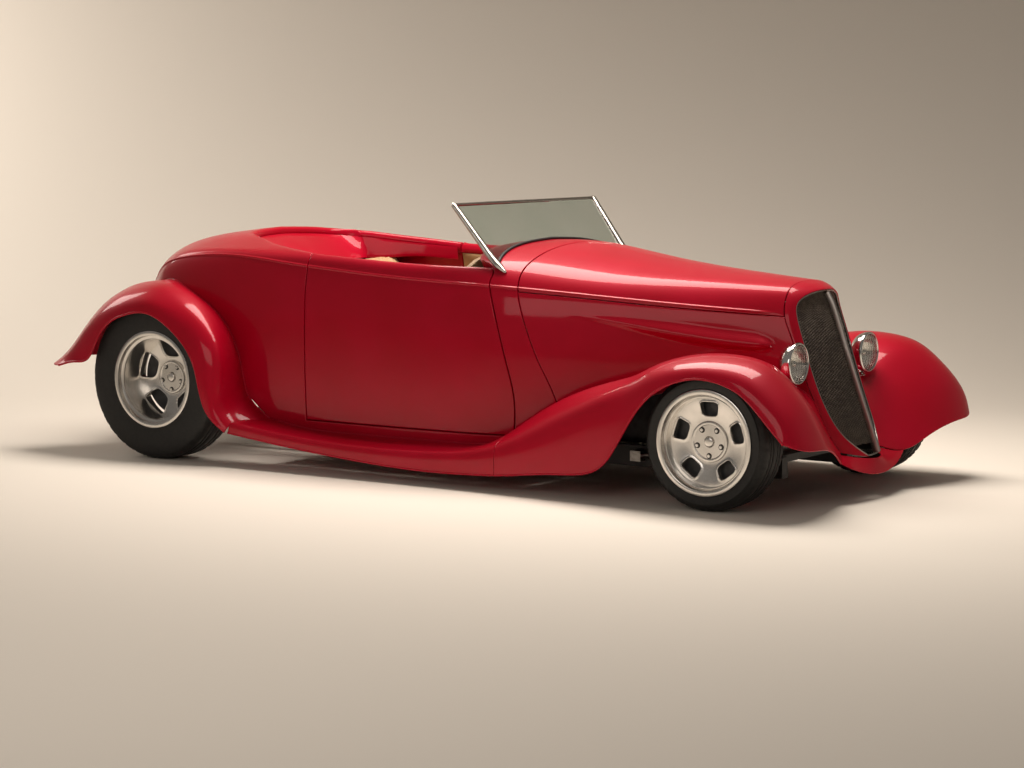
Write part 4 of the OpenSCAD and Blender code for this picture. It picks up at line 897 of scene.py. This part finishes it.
# A fender net with its first points on the body, and the surface it gives: near the body each
# point is moved by what its row's first point misses the body by, fading out over one row
def fenderSurface(table, joinU, joinV):
    joinU, joinV = np.array(joinU), np.array(joinV)
    table = table.copy()
    onBody = lambda a, b: bare(a, b) + bodyShape["seam"] * bareNormal(a, b)
    table[:, 0] = onBody(joinU, joinV)
    last = len(table) - 1

    def surface(u, v):
        p = netPoint(table, u, v)
        one = np.clip(np.asarray(u, float), 0, last)
        w = through(one, len(table))
        ju = (w @ joinU).reshape(np.shape(one))
        jv = (w @ joinV).reshape(np.shape(one))
        miss = onBody(ju, np.minimum(jv, 9)) - netPoint(table, one, 0 * one)
        return p + miss * (np.clip(1 - v, 0, 1) ** 2)[..., None]
    return surface, last


# A fender: the surface and its copy a thickness inside with folded lips, and a beaded lower lip
def fender(name, surface, last, u, v, way, cadNode):
    def normal(a, b):
        a = np.clip(a, 0.03, last - 0.03)
        b = np.clip(b, 0.03, 5.97)
        return way * surfaceNormal(surface, a, b, 0.03)
    outer = surface(u, v)
    inner = outer - normal(u, v) * fenderShape["thick"]
    keep = np.ones((u.shape[0] - 1, u.shape[1] - 1), bool)
    outer, inner = foldEdges(outer, inner, keep, np.where(v > 0.5, 0.003, 0.0006))
    verts = toRow(np.concatenate([outer.reshape(-1, 3), inner.reshape(-1, 3)]))
    bead = toRow((outer[:, -1] + inner[:, -1]) / 2)
    for side, hand in ((1, "left"), (-1, "right")):
        piece(name + hand.capitalize(),
              [(verts * [1, side, 1], [shellFaces(keep)]),
               tube(bead * [1, side, 1], fenderShape["bead"], 12)],
              redPaint, "chassis", (cadNode + "_" + hand,))


def square(us, vs):
    size = (len(us), len(vs))
    return np.broadcast_to(us[:, None], size), np.broadcast_to(vs[None], size)


boardSurface, lastBoard = fenderSurface(boardSections, boardJoinU, boardJoinV)
rearSurface, lastRear = fenderSurface(rearSections, rearJoinU, rearJoinV)
rowsOut = 6 * panelSteps(42, 0.6, 0.003)
u, v = square(fenderShape["split"] + 0.003 + (lastBoard - fenderShape["split"] - 0.003)
              * panelSteps(92, 1.8), rowsOut)
fender("frontFender", boardSurface, lastBoard, u, v, 1, "front_fender")
u, v = square(lastRear * panelSteps(92, 1.6), rowsOut)
fender("rearFender", rearSurface, lastRear, u, v, -1, "rear_fender")
# The board runs from the rear fender's foot, found row by row by repetition, to the split
footX = rearSurface(np.zeros_like(rowsOut), rowsOut)[:, 0] + fenderShape["footGap"]
start = np.full_like(rowsOut, 0.3)
for _ in range(6):
    start = start + (footX - boardSurface(start, rowsOut)[:, 0]) / 0.35
s = panelSteps(60, 1.2)[:, None]
u = start[None] * (1 - s) + (fenderShape["split"] - 0.003) * s
fender("runningBoard", boardSurface, lastBoard, u, np.broadcast_to(rowsOut[None], u.shape), 1,
       "running_board")


# The welt: a painted cord pinched in the joint along each fender's first row
def fenderWelts():
    forms = []
    for surface, start, end in ((boardSurface, 0.5, lastBoard - 1.6), (rearSurface, 0.02, lastRear - 0.1)):
        line = toRow(surface(np.linspace(start, end, 170), np.full(170, 0.01)))
        forms += [tube(line * [1, side, 1], 0.0040, 10) for side in (1, -1)]
    piece("fenderWelts", forms, redPaint, "chassis")


fenderWelts()
stage("fenders and running boards made")


# The apron below the grille: a sheet between the fenders' inner edges, bowed to a low V
def frontApron():
    s = np.concatenate([-panelSteps(24, 0.2)[::-1], panelSteps(24, 0.2)[1:]])[:, None]
    t = panelSteps(14, 0.1)[None]
    side = boardSurface(np.full(t.size, float(lastBoard)), 0.95 * t[0])[None]
    side = side - np.stack([0 * t, 0 * t + 0.0022, 0.006 * (1 - t) + 0.002], -1)
    a = np.abs(s)
    k = a ** 2
    grid = np.stack([(3.236 * (1 - t) + 3.256 * t) * (1 - k) + side[..., 0] * k,
                     side[..., 1] * s,
                     (0.168 * (1 - t) + 0.104 * t) * (1 - k) + side[..., 2] * k], -1)
    keep = np.ones((grid.shape[0] - 1, grid.shape[1] - 1), bool)
    outer, inner = foldEdges(grid, grid - [0.008, 0, 0], keep, np.full(grid.shape[:2], 0.003))
    verts = toRow(np.concatenate([outer.reshape(-1, 3), inner.reshape(-1, 3)]))
    piece("frontApron", [(verts, [shellFaces(keep)])], redPaint, "chassis",
          ("front_apron",))


frontApron()


wheelPlaces = {
    "front": {"centre": (1.489, 0.696, 0.280), "radius": 0.280, "half": 0.095, "bead": 0.2043,
              "lip": 0.217, "hubIn": 0.083, "faceOut": 0.184, "slotIn": 0.105, "slotOut": 0.160,
              "slotWide": 0.086, "narrow": 0.76, "face": 0.050, "rise": -0.014, "thick": 0.024,
              "hub": 0.042, "hubRadius": 0.084},
    "rear": {"centre": (-1.356, 0.727, 0.365), "radius": 0.365, "half": 0.105, "bead": 0.2093,
             "lip": 0.222, "hubIn": 0.073, "faceOut": 0.188, "slotIn": 0.096, "slotOut": 0.178,
             "slotWide": 0.132, "narrow": 0.60, "face": -0.030, "rise": -0.016, "thick": 0.026,
             "hub": -0.036, "hubRadius": 0.076},
}
rimProfiles = {
    "front": [(.196, -.080), (.204, -.080), (.204, .078), (.2155, .0872), (.2164, .0905),
              (.2158, .0932), (.2130, .0946), (.1990, .0942), (.1962, .0930), (.1948, .0890),
              (.1930, .0800), (.1905, .0745), (.1882, .0722), (.1862, .0724), (.1842, .0742),
              (.1820, .0738), (.1806, .0500), (.1806, .0300), (.1920, .0200), (.1940, -.0700)],
    "rear": [(.199, -.090), (.209, -.090), (.209, .088), (.2205, .0972), (.2214, .1005),
             (.2208, .1032), (.2180, .1046), (.2045, .1042), (.2015, .1028), (.2000, .0980),
             (.1990, .0890), (.1980, .0850), (.1960, .0836), (.1880, .0830), (.1855, .0822),
             (.1842, .0800), (.1838, .0700), (.1860, -.0200), (.1862, -.0460), (.1990, -.0560)],
}


# Five-slot wheel face. Each fifth is a ring of rays that start on a rounded slot's edge and end
# on the sector's border; along a ray the face runs flat, lifts to a lip and rolls into the slot.
def slottedFace(w, centre, side):
    n = 96
    th = np.arange(n) * 2 * np.pi / n
    power = lambda a: np.sign(a) * np.abs(a) ** 0.45
    mid, high = (w["slotIn"] + w["slotOut"]) / 2, (w["slotOut"] - w["slotIn"]) / 2
    sx, sy = power(np.sin(th)), power(np.cos(th))
    slotX = w["slotWide"] / 2 * sx * (w["narrow"] + (1 - w["narrow"]) * (sy + 1) / 2)
    slotY = mid + high * sy
    m = np.maximum(np.abs(np.sin(th)), np.abs(np.cos(th)))
    phi = math.radians(36) * np.sin(th) / m
    r = w["hubIn"] + (w["faceOut"] - w["hubIn"]) * (np.cos(th) / m + 1) / 2
    borderX, borderY = r * np.sin(phi), r * np.cos(phi)
    t = np.array([1, .85, .7, .55, .4, .28, .18, .11, .06, .025, 0])[:, None]
    x = slotX * (1 - t) + borderX * t
    y = slotY * (1 - t) + borderY * t
    span = np.hypot(borderX - slotX, borderY - slotY)
    radius = np.hypot(x, y)
    height = w["face"] + w["rise"] * (1 - ease(w["hubIn"], w["faceOut"], radius))
    gap = t * span
    lip = 0.0022 * np.exp(-((gap - 0.0045) / 0.0035) ** 2)
    roll = np.clip(0.0035 - gap, 0, None)
    front = height + lip - (0.0035 - np.sqrt(np.clip(0.0035 ** 2 - roll ** 2, 0, None)))
    walls = np.stack([front[-1] - 0.008, front[-1] - 0.016])
    back = height[::-1] - w["thick"]
    X = np.concatenate([x, x[-1:], x[-1:], x[::-1]])
    Y = np.concatenate([y, y[-1:], y[-1:], y[::-1]])
    H = np.concatenate([front, walls, back])
    rows = len(X)
    faces = gridFaces(rows, n, wrapM=True)
    onRim = np.abs(np.cos(th) / m) > 0.9999
    j = np.arange(n)
    k = (j + 1) % n
    edge = onRim[j] & onRim[k]
    close = np.stack([(rows - 1) * n + j, (rows - 1) * n + k, k, j], -1)[edge]
    verts, allFaces = [], []
    for s in range(5):
        a = s * 2 * np.pi / 5
        verts.append(np.stack([X * np.cos(a) + Y * np.sin(a), H * side,
                               Y * np.cos(a) - X * np.sin(a)], -1).reshape(-1, 3))
        allFaces.append(np.concatenate([faces, close]) + s * rows * n)
    verts = np.concatenate(verts)
    _, first, back = np.unique(np.round(verts, 6), axis=0, return_index=True, return_inverse=True)
    return verts[first] + np.asarray(centre), [back.ravel()[np.concatenate(allFaces)]]


# Tyre: the sidewall and tread profile turned round, three grooves sunk in it and the tread's
# shoulders notched by a square wave round the wheel
def tyreForm(w, centre, side):
    r, h, b, lip = w["radius"], w["half"], w["bead"], w["lip"]
    wall = np.array([[lip + .001, h - .0125], [lip + .004, h - .004], [(r + b) / 2 + .008, h],
                     [r - .024, h - .006], [r - .009, h - .018], [r - .002, h - .034]])
    wall = through(np.linspace(0, 5, 34), 6) @ wall
    tread = []
    for g in (1.0, 0.45):
        at = g * (h - .052) * 0.9
        tread += [(r - .0006, at + .0045), (r - .0012, at + .0036), (r - .006, at + .0030),
                  (r - .006, at - .0030), (r - .0008, at - .0036), (r, at - .0046)]
    half = np.concatenate([[[b, h - .0155], [lip - .004, h - .0150]], wall, tread])
    profile = np.concatenate([half, (half * [1, -1])[::-1]])
    around = 180
    a = np.arange(around) * 2 * np.pi / around
    R = np.broadcast_to(profile[:, :1], (len(profile), around)).copy()
    W = np.broadcast_to(profile[:, 1:], R.shape)
    notch = (np.arange(around) % 5 == 0)[None] & (R > r - .016) & (np.abs(W) > h - .045)
    R -= 0.0035 * notch
    grid = np.stack([R * np.sin(a), W * side, R * np.cos(a)], -1) + np.asarray(centre)
    return grid, [gridFaces(len(profile), around, wrapN=True, wrapM=True)]


def hubForms(w, centre, side):
    h, r = w["hub"], w["hubRadius"]
    pad = [(.002, h - .034), (r - .006, h - .034), (r - .001, h - .020), (r, h - .004),
           (r - .003, h + .0005), (r - .012, h + .0022), (r - .0145, h + .0008),
           (r - .016, h - .0010), (.0400, h - .0010), (.0240, h - .0010), (.0215, h + .0020),
           (.0205, h + .0060), (.0180, h + .0082), (.0120, h + .0092), (.0020, h + .0096)]
    dark, nuts = [], []
    for k in range(5):
        a = math.radians(36 + 72 * k)
        at = np.asarray(centre) + [0.05715 * math.sin(a), 0, 0.05715 * math.cos(a)]
        # Each lug hole is a thin dark disc on the face, round its nut: painted shade for the hole's recess
        dark.append(turned([(.002, h - .004), (.0118, h - .004), (.0122, h - .0006),
                            (.0118, h + .0002), (.002, h + .0002)], at, "Y", side, 28, False))
        nuts.append(turned([(.002, h - .002), (.0082, h - .002), (.0082, h + .0045),
                            (.0066, h + .0066), (.002, h + .0068)], at, "Y", side, 6, False))
    return pad, dark, nuts


def wheels():
    for end, w in wheelPlaces.items():
        for side, hand in ((1, "left"), (-1, "right")):
            body = "wheel_%s_%s" % (end, hand)
            name = "wheel" + end.capitalize() + hand.capitalize()
            centre = np.array(w["centre"]) * [1, side, 1]
            pad, dark, nuts = hubForms(w, centre, side)
            piece(name + "Tyre", [tyreForm(w, centre, side)], rubber, body,
                  ("tyre_%s_%s" % (end, hand),), sharp=50)
            piece(name + "Rim", [turned(rimProfiles[end], centre, "Y", side, 180)], aluminium,
                  body, ("rim_%s_%s" % (end, hand),))
            piece(name + "Face", [slottedFace(w, centre, side),
                                  turned(pad, centre, "Y", side, 120, False)],
                  aluminium, body, sharp=40)
            # The lug holes: dark discs of painted shade under the nuts
            piece(name + "LugHoleShade", dark, crackleAndShade, body)
            piece(name + "LugNuts", nuts, chrome, body)
            inner = -0.070 if end == "rear" else 0.004
            drumFace = [(.002, inner - .018), (.174, inner - .018), (.178, inner - .014),
                        (.178, inner - .003), (.174, inner), (.060, inner + .002), (.002, inner + .002)]
            piece(name + "Drum", [turned(drumFace, centre, "Y", side, 72, False)], iron, body)


wheels()
stage("wheels made")


lampShape = {"x": 1.666, "y": 0.327, "z": 0.573}


def headlamps():
    shell = [(.002, -.0700), (.014, -.0695), (.027, -.0680), (.040, -.0645), (.051, -.0590),
             (.061, -.0520), (.070, -.0435), (.077, -.0335), (.0820, -.0235), (.0850, -.0150),
             (.0865, -.0080), (.0868, -.0065), (.0880, -.0045), (.0886, .0010), (.0880, .0060),
             (.0860, .0100), (.0830, .0120), (.0800, .0118), (.0780, .0095), (.0772, .0050),
             (.0740, -.0010), (.0680, -.0160), (.0580, -.0320), (.0450, -.0450), (.0280, -.0540),
             (.0020, -.0580)]
    lens = [(.002, .0245), (.020, .0238), (.038, .0215), (.054, .0175), (.067, .0125),
            (.0765, .0080), (.0765, .0060), (.067, .0098), (.054, .0145), (.038, .0185),
            (.020, .0207), (.002, .0214)]
    bulb = [(.002, -.058), (.010, -.054), (.011, -.030), (.0135, -.022), (.0135, -.014),
            (.009, -.008), (.002, -.006)]
    shells, lenses, bulbs = [], [], []
    foot = toRow(boardSurface(np.array(12.1), np.array(0.75)))[2] + 0.004
    for side in (1, -1):
        c = np.array([lampShape["x"], lampShape["y"] * side, lampShape["z"]])
        shells.append(turned(shell, c, "X", 1, 96, False))
        lenses.append(turned(lens, c, "X", 1, 96, False))
        bulbs.append(turned(bulb, c, "X", 1, 32, False))
        z = np.array([foot, foot + .004, foot + .012, foot + .024, .470, .500, .515])
        post = np.stack([0 * z + c[0] - .040, 0 * z + c[1], z], 1)
        shells.append(tube(post, [.030, .028, .019, .014, .0135, .016, .022], 28, up=(1, 0, 0)))
    piece("headlampShells", shells, chrome, "chassis", ("headlamps",))
    piece("headlampBulbs", bulbs, chrome, "chassis")
    piece("headlampLenses", lenses, lampGlass, "chassis")


headlamps()


grilleShape = {"wire": 0.00125, "bar": 0.0150}


# A point on one leg of the V-shaped grille: between the opening's edge and the nose line
def grillePlane(v, s):
    v = np.clip(v, 0, 9)
    n = bareNormal(np.full_like(v, lastU), v)
    edge = along(grilleEdge, v) - np.stack([0 * v + 0.008, 0.007 * n[:, 1] + 0.0004, 0.007 * n[:, 2]], 1)
    nose = along(grilleNose, v)
    k = np.abs(s)[:, None]
    p = edge * k + nose * (1 - k)
    p[:, 1] *= np.where(s < 0, -1, 1)
    return toRow(p)


# Woven mesh: two families of wires that slope across each leg, each a small four-sided tube
def grilleMesh():
    forms = []
    count = 92
    for side in (1, -1):
        for slope in (1, -1):
            for k in range(-26, count + 26):
                s = np.linspace(0, 1, 15)
                v = 0.35 + (8.45 - 0.35) * (k / count + slope * 0.13 * (s - 0.5))
                ok = (v > 0.32) & (v < 8.52)
                if ok.sum() < 3:
                    continue
                p = grillePlane(v[ok], s[ok] * side)
                wave = 0.0011 * np.cos(np.pi * (np.arange(len(p)) + k)) * slope
                p[:, 0] += wave - 0.002
                forms.append(tube(p, grilleShape["wire"], 4, up=(1, 0, 0.3)))
    piece("grilleMesh", forms, wire, "chassis", ("grille",))
    # The backing: a thin black sheet just behind the mesh, standing for the radiator's black front and for
    # painted shade inside the grille
    v = np.linspace(0.35, 8.5, 60)
    s = np.linspace(-1, 1, 21)
    back = np.stack([grillePlane(v, np.full_like(v, t)) for t in s]) - [0.0085, 0, 0]
    faces = shellFaces(np.ones((len(s) - 1, len(v) - 1), bool))
    grid = np.concatenate([back.reshape(-1, 3), (back - [0.003, 0, 0]).reshape(-1, 3)])
    piece("grilleBacking", [(grid, [faces])], crackleAndShade, "chassis")
    nose = grillePlane(np.linspace(0.02, 8.9, 70), np.zeros(70)) + [0.0035, 0, 0]
    bars = [tube(nose, grilleShape["bar"], 18, flat=(1.25, 0.45), up=(0, 1, 0))]
    trims = []
    for side in (1, -1):
        edge = grillePlane(np.linspace(0.1, 8.95, 110), np.full(110, 0.995 * side)) + [0.004, 0, 0]
        trims.append(tube(edge, 0.0034, 10, up=(1, 0, 0.3)))
    piece("grilleCentreBar", bars, stainless, "chassis")
    piece("grilleEdgeTrim", trims, stainless, "chassis")


grilleMesh()
stage("lamps and grille made")


shieldShape = {"topX": 1.484, "topY": 0.572, "topZ": 1.189, "post": 0.0145}


def windshield():
    w = shieldShape
    foot = bare(np.array(atX(1688)), np.array(3.05)) + [0, 0, 0.004]
    top = np.array([w["topX"], w["topY"], w["topZ"]])
    lean = unit(top - foot)
    n = bareNormal(np.array(atX(1688)), np.array(3.05))
    posts = []
    toeAt = bare(np.array(atX(1740)), np.array(3.32))
    toeN = bareNormal(np.array(atX(1740)), np.array(3.32))
    for side in (1, -1):
        corner = foot + 0.004 * n
        line = [toeAt + 0.0035 * toeN, corner + 0.012 * lean, top + 0.010 * lean]
        path = rounded(line, 14, 0.9)
        t = np.linspace(0, 1, 46)
        steps = np.concatenate([[0], np.cumsum(np.linalg.norm(np.diff(path, axis=0), axis=1))])
        path = np.stack([np.interp(t * steps[-1], steps, path[:, k]) for k in range(3)], 1)
        size = w["post"] * np.interp(t, [0, 0.02, 0.05, 0.12, 0.25, 0.97, 0.985, 1],
                                     [0.25, 0.55, 0.8, 1.18, 1.15, 0.92, 0.85, 0.35])
        posts.append(tube(toRow(path) * [1, side, 1], size, 24, flat=(0.85, 1.2), up=(0, 1, 0)))
    bar = [tube(toRow(np.array([[top[0], y, top[2]] for y in np.linspace(-top[1], top[1], 24)])),
                0.0078, 16)]
    piece("windshieldPosts", posts + bar, posted, "chassis", ("windshield_frame",))
    v = np.linspace(-2.78, 2.78, 61)
    u = np.full_like(v, atX(1650))
    for _ in range(8):   # where the glass's plane meets the cowl, row by row by repetition
        z = bare(u, v)[:, 2]
        x = foot[0] + (top[0] - foot[0]) * (z - foot[2]) / (top[2] - foot[2]) + 0.006
        u = atX(x * 1000)
    gasket = bare(u, v) + bareNormal(u, v) * 0.006 - [0.004, 0, 0]
    piece("windshieldGasket", [tube(toRow(gasket), 0.0062, 12)], rubber, "chassis")


windshield()


# The red coaming: a wall rolled over the cockpit's rim and sloping down to the seat. Each point
# of the rim is joined to a lower point by a line that bows out a little.
def coaming():
    backRows = np.linspace(0, 1.95, 60)
    sideU = np.linspace(4.98, 6.5, 46)
    u = np.concatenate([cockpitBack(backRows), sideU])
    v = np.concatenate([backRows, rimRow(sideU)])
    edge = bare(u, v) - 0.034 * bareNormal(u, v)
    k = ease(0.34, 0.62, edge[:, 0])[:, None]
    rear = np.stack([np.maximum(edge[:, 0] + 0.02, 0.318), np.minimum(edge[:, 1], 0.545),
                     0 * k[:, 0] + 0.878], 1)
    side = edge + np.array([0.010, -0.004, -0.055])
    inner = rear * (1 - k) + side * k
    s = np.linspace(0, 1, 12)[:, None, None]
    grid = edge * (1 - s) + inner * s + 0.012 * np.sin(np.pi * s) * np.array([0, 0, 1])
    full = np.concatenate([(grid * [1, -1, 1])[:, :0:-1], grid], 1)
    keep = np.ones((full.shape[0] - 1, full.shape[1] - 1), bool)
    verts = toRow(np.concatenate([full.reshape(-1, 3), (full - [0.002, 0, 0.004]).reshape(-1, 3)]))
    piece("cockpitCoaming", [(verts, [shellFaces(keep)])], redPaint, "chassis")


coaming()


# Door linings: the door's inner face with upright rolls, each a half sine between its seams
def doorLinings():
    v = 3.5 + (8.45 - 3.5) * panelSteps(30, 0.6)[None]
    s = panelSteps(120, 0.9)[:, None]
    u = (atX(740) + 0.03) * (1 - s) + (doorFront(v) - 0.03) * s
    v = np.broadcast_to(v, u.shape)
    base = bare(u, v)
    n = bareNormal(u, v)
    x = base[..., 0]
    rolls = np.abs(np.sin(np.pi * (x - 0.74) / 0.062)) ** 0.55
    border = ease(0.0, 0.05, s) * ease(1.0, 0.95, s) * ease(3.5, 3.9, v) * ease(8.45, 8.1, v)
    puff = 0.0035 + 0.0065 * border * (0.55 + 0.45 * rolls)
    inner = base - n * (bodyShape["wall"] + 0.0004)
    outer = base - n * (bodyShape["wall"] + puff)[..., None]
    keep = np.ones((u.shape[0] - 1, u.shape[1] - 1), bool)
    for side, hand in ((1, "left"), (-1, "right")):
        verts = toRow(np.concatenate([inner.reshape(-1, 3), outer.reshape(-1, 3)])) * [1, side, 1]
        obj = piece("doorLining" + hand.capitalize(), [(verts, [shellFaces(keep)])], leather,
                    "door_" + hand, ("door_trim_" + hand,))


doorLinings()


seatShape = {"width": 1.062, "rollSpacing": 0.072, "seamShare": 0.16, "middleSeam": 0.006,
             "rollDepth": 0.011, "swell": 0.022}


# A seat pad's starting block: its side outline pulled in by a margin, carried across the seat in
# slices that shrink a little towards both ends
def padBlock(outline, width, margin):
    p = rounded(np.concatenate([outline, outline[:2]]), 6, 0.3)[1:-1]
    mid = p.mean(0)
    y = np.concatenate([[-1, -0.985, -0.95], np.linspace(-0.9, 0.9, 41), [0.95, 0.985, 1]])
    shrink = 1 - margin / 0.12 - 0.16 * np.clip((np.abs(y) - 0.9) / 0.1, 0, 1) ** 3
    grid = np.stack([mid[0] + (p[:, 0] - mid[0]) * shrink[:, None],
                     np.broadcast_to((y * (width / 2 - margin))[:, None], (len(y), len(p))),
                     mid[1] + (p[:, 1] - mid[1]) * shrink[:, None]], -1)
    m = len(p)
    return toRow(grid.reshape(-1, 3)), [gridFaces(len(y), m, wrapM=True),
                                        np.arange(m)[None, ::-1], np.arange(m)[None] + (len(y) - 1) * m]


# Stuffed pad: the block remeshed, blown up as cloth and held to a cap, then rolls sewn across it
# by sinking points near each seam along their normals
def seatPad(name, outline, cadNode, rollsOn):
    w = seatShape
    obj = piece(name, [padBlock(outline, w["width"], 0.014)], leather, "chassis",
                (cadNode,), sharp=0)
    mod = obj.modifiers.new("even", "REMESH")
    mod.mode = "VOXEL"
    mod.voxel_size = 0.006
    bpy.context.view_layer.objects.active = obj
    obj.select_set(True)
    bpy.ops.object.modifier_apply(modifier="even")
    start = np.empty(len(obj.data.vertices) * 3)
    obj.data.vertices.foreach_get("co", start)
    start = start.reshape(-1, 3)
    cloth = obj.modifiers.new("stuffing", "CLOTH")
    cloth.settings.use_pressure = True
    cloth.settings.uniform_pressure_force = 4.0
    cloth.settings.effector_weights.gravity = 0
    cloth.settings.quality = 4
    for f in range(1, 15):
        bpy.context.scene.frame_set(f)
    bpy.ops.object.modifier_apply(modifier="stuffing")
    bpy.context.scene.frame_set(1)
    co = np.empty(len(obj.data.vertices) * 3)
    obj.data.vertices.foreach_get("co", co)
    co = co.reshape(-1, 3)
    move = co - start
    far = np.linalg.norm(move, axis=1, keepdims=True)
    co = start + move * np.minimum(1, w["swell"] / np.maximum(far, 1e-9))
    normals = np.empty(len(co) * 3)
    obj.data.vertices.foreach_get("normal", normals)
    normals = normals.reshape(-1, 3)
    across = np.abs((co[:, 1] / w["rollSpacing"]) % 1 - 0.5) * 2   # 1 at a seam
    seam = np.exp(-((1 - across) / w["seamShare"]) ** 2)
    middle = np.exp(-(co[:, 1] / w["middleSeam"]) ** 2) * 0.5
    co = co - normals * (w["rollDepth"] * np.maximum(seam, middle) * rollsOn(co, normals))[:, None]
    low, high = (np.array(c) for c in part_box(cadNode))
    co = np.clip(co, low - 0.004, high + 0.010)
    obj.data.vertices.foreach_set("co", co.ravel())
    obj.data.update()
    obj.data.polygons.foreach_set("use_smooth", np.ones(len(obj.data.polygons), bool))
    obj.select_set(False)
    return obj


cushionOutline = np.array([[560, 353], [560, 462], [600, 482], [800, 492], [1010, 502],
                           [1060, 482], [1070, 373], [1050, 353]], float) / 1000
backOutline = np.array([[540, 510], [555, 542], [440, 880], [415, 905], [385, 910], [345, 890],
                        [307, 820], [307, 510]], float) / 1000
seatPad("seatCushion", cushionOutline, "seat_cushion",
        lambda co, n: ease(0.2, 0.7, n[:, 2]) * ease(-0.80, -0.72, co[:, 0]))
seatPad("seatBack", backOutline, "seat_back",
        lambda co, n: ease(0.1, 0.6, n[:, 0] + 0.6 * n[:, 2]))
stage("cockpit made")


# Camera: a long lens low beside the nose, turned about a third of a degree
cameraShape = {"target": (0.058, 0.0, 0.363), "azimuth": 33.2, "elevation": 5.94, "roll": 0.36,
               "distance": 12.49, "lens": 97.24}


def camera():
    w = cameraShape
    az, el = math.radians(w["azimuth"]), math.radians(w["elevation"])
    back = Vector((math.sin(az) * math.cos(el), -math.cos(az) * math.cos(el), math.sin(el)))
    data = bpy.data.cameras.new("camera")
    data.lens = w["lens"]
    data.sensor_width = 36
    cam = bpy.data.objects.new("camera", data)
    cam.location = Vector(w["target"]) + back * w["distance"]
    roll = Matrix.Rotation(math.radians(w["roll"]), 3, "Z")
    turn = back.to_track_quat("Z", "Y").to_matrix() @ roll
    cam.rotation_euler = turn.to_euler()
    bpy.context.scene.collection.objects.link(cam)
    bpy.context.scene.camera = cam
    return back


viewBack = camera()


# Paper floor swept up behind the car: a flat run, a quarter circle and a wall, square to the view
backdropShape = {"front": -16, "flatTo": 2.2, "sweep": 5, "wallMiddle": 8.0, "top": 14.0,
                 "halfWidth": 16}


def backdrop():
    w = backdropShape
    wall = w["flatTo"] + w["sweep"]
    away = -Vector((viewBack.x, viewBack.y, 0)).normalized()
    across = Vector((-away.y, away.x, 0))
    a = np.linspace(0, np.pi / 2, 24)
    arc = [w["flatTo"] + w["sweep"] * np.sin(a), w["sweep"] - w["sweep"] * np.cos(a)]
    run = np.concatenate([[[w["front"], 0], [w["front"] / 2, 0], [0, 0], [w["flatTo"], 0]],
                          np.stack(arc, 1)[1:], [[wall, w["wallMiddle"]], [wall, w["top"]]]])
    side = np.linspace(-w["halfWidth"], w["halfWidth"], 9)
    grid = (run[:, None, :1] * np.array(away)[None, None] + side[None, :, None] * np.array(across)
            + run[:, None, 1:] * np.array([0, 0, 1.0]))
    mesh = bpy.data.meshes.new("backdrop")
    mesh.from_pydata(grid.reshape(-1, 3).tolist(), [], gridFaces(len(run), len(side)).tolist())
    mesh.polygons.foreach_set("use_smooth", np.ones(len(mesh.polygons), bool))
    obj = bpy.data.objects.new("backdrop", mesh)
    obj.data.materials.append(paper)
    bpy.context.scene.collection.objects.link(obj)


backdrop()


def softBox(name, location, aim, size, power, colour="#fff4ea"):
    data = bpy.data.lights.new(name, "AREA")
    data.shape = "RECTANGLE"
    data.size, data.size_y = size
    data.energy = power
    data.color = linear(colour)[:3]
    lamp = bpy.data.objects.new(name, data)
    lamp.location = location
    lamp.rotation_euler = (Vector(location) - Vector(aim)).to_track_quat("Z", "Y").to_euler()
    bpy.context.scene.collection.objects.link(lamp)


softBox("overhead", (0.3, 0.3, 3.6), (0.3, -0.1, 0.4), (3.8, 1.6), 228)
softBox("sideFill", (1.5, -6.5, 2.6), (0.2, 0, 0.5), (4.0, 2.0), 45)
softBox("backSweep", (-6.5, 0.5, 3.6), (-5.5, 3.0, 0.2), (3.0, 2.0), 115)
world = bpy.data.worlds.new("studio")
world.use_nodes = True
world.node_tree.nodes["Background"].inputs[0].default_value = linear("#d8cfc6")
world.node_tree.nodes["Background"].inputs[1].default_value = 0.26
bpy.context.scene.world = world
bpy.context.scene.view_settings.view_transform = "Standard"
stage("camera, floor and lights set")
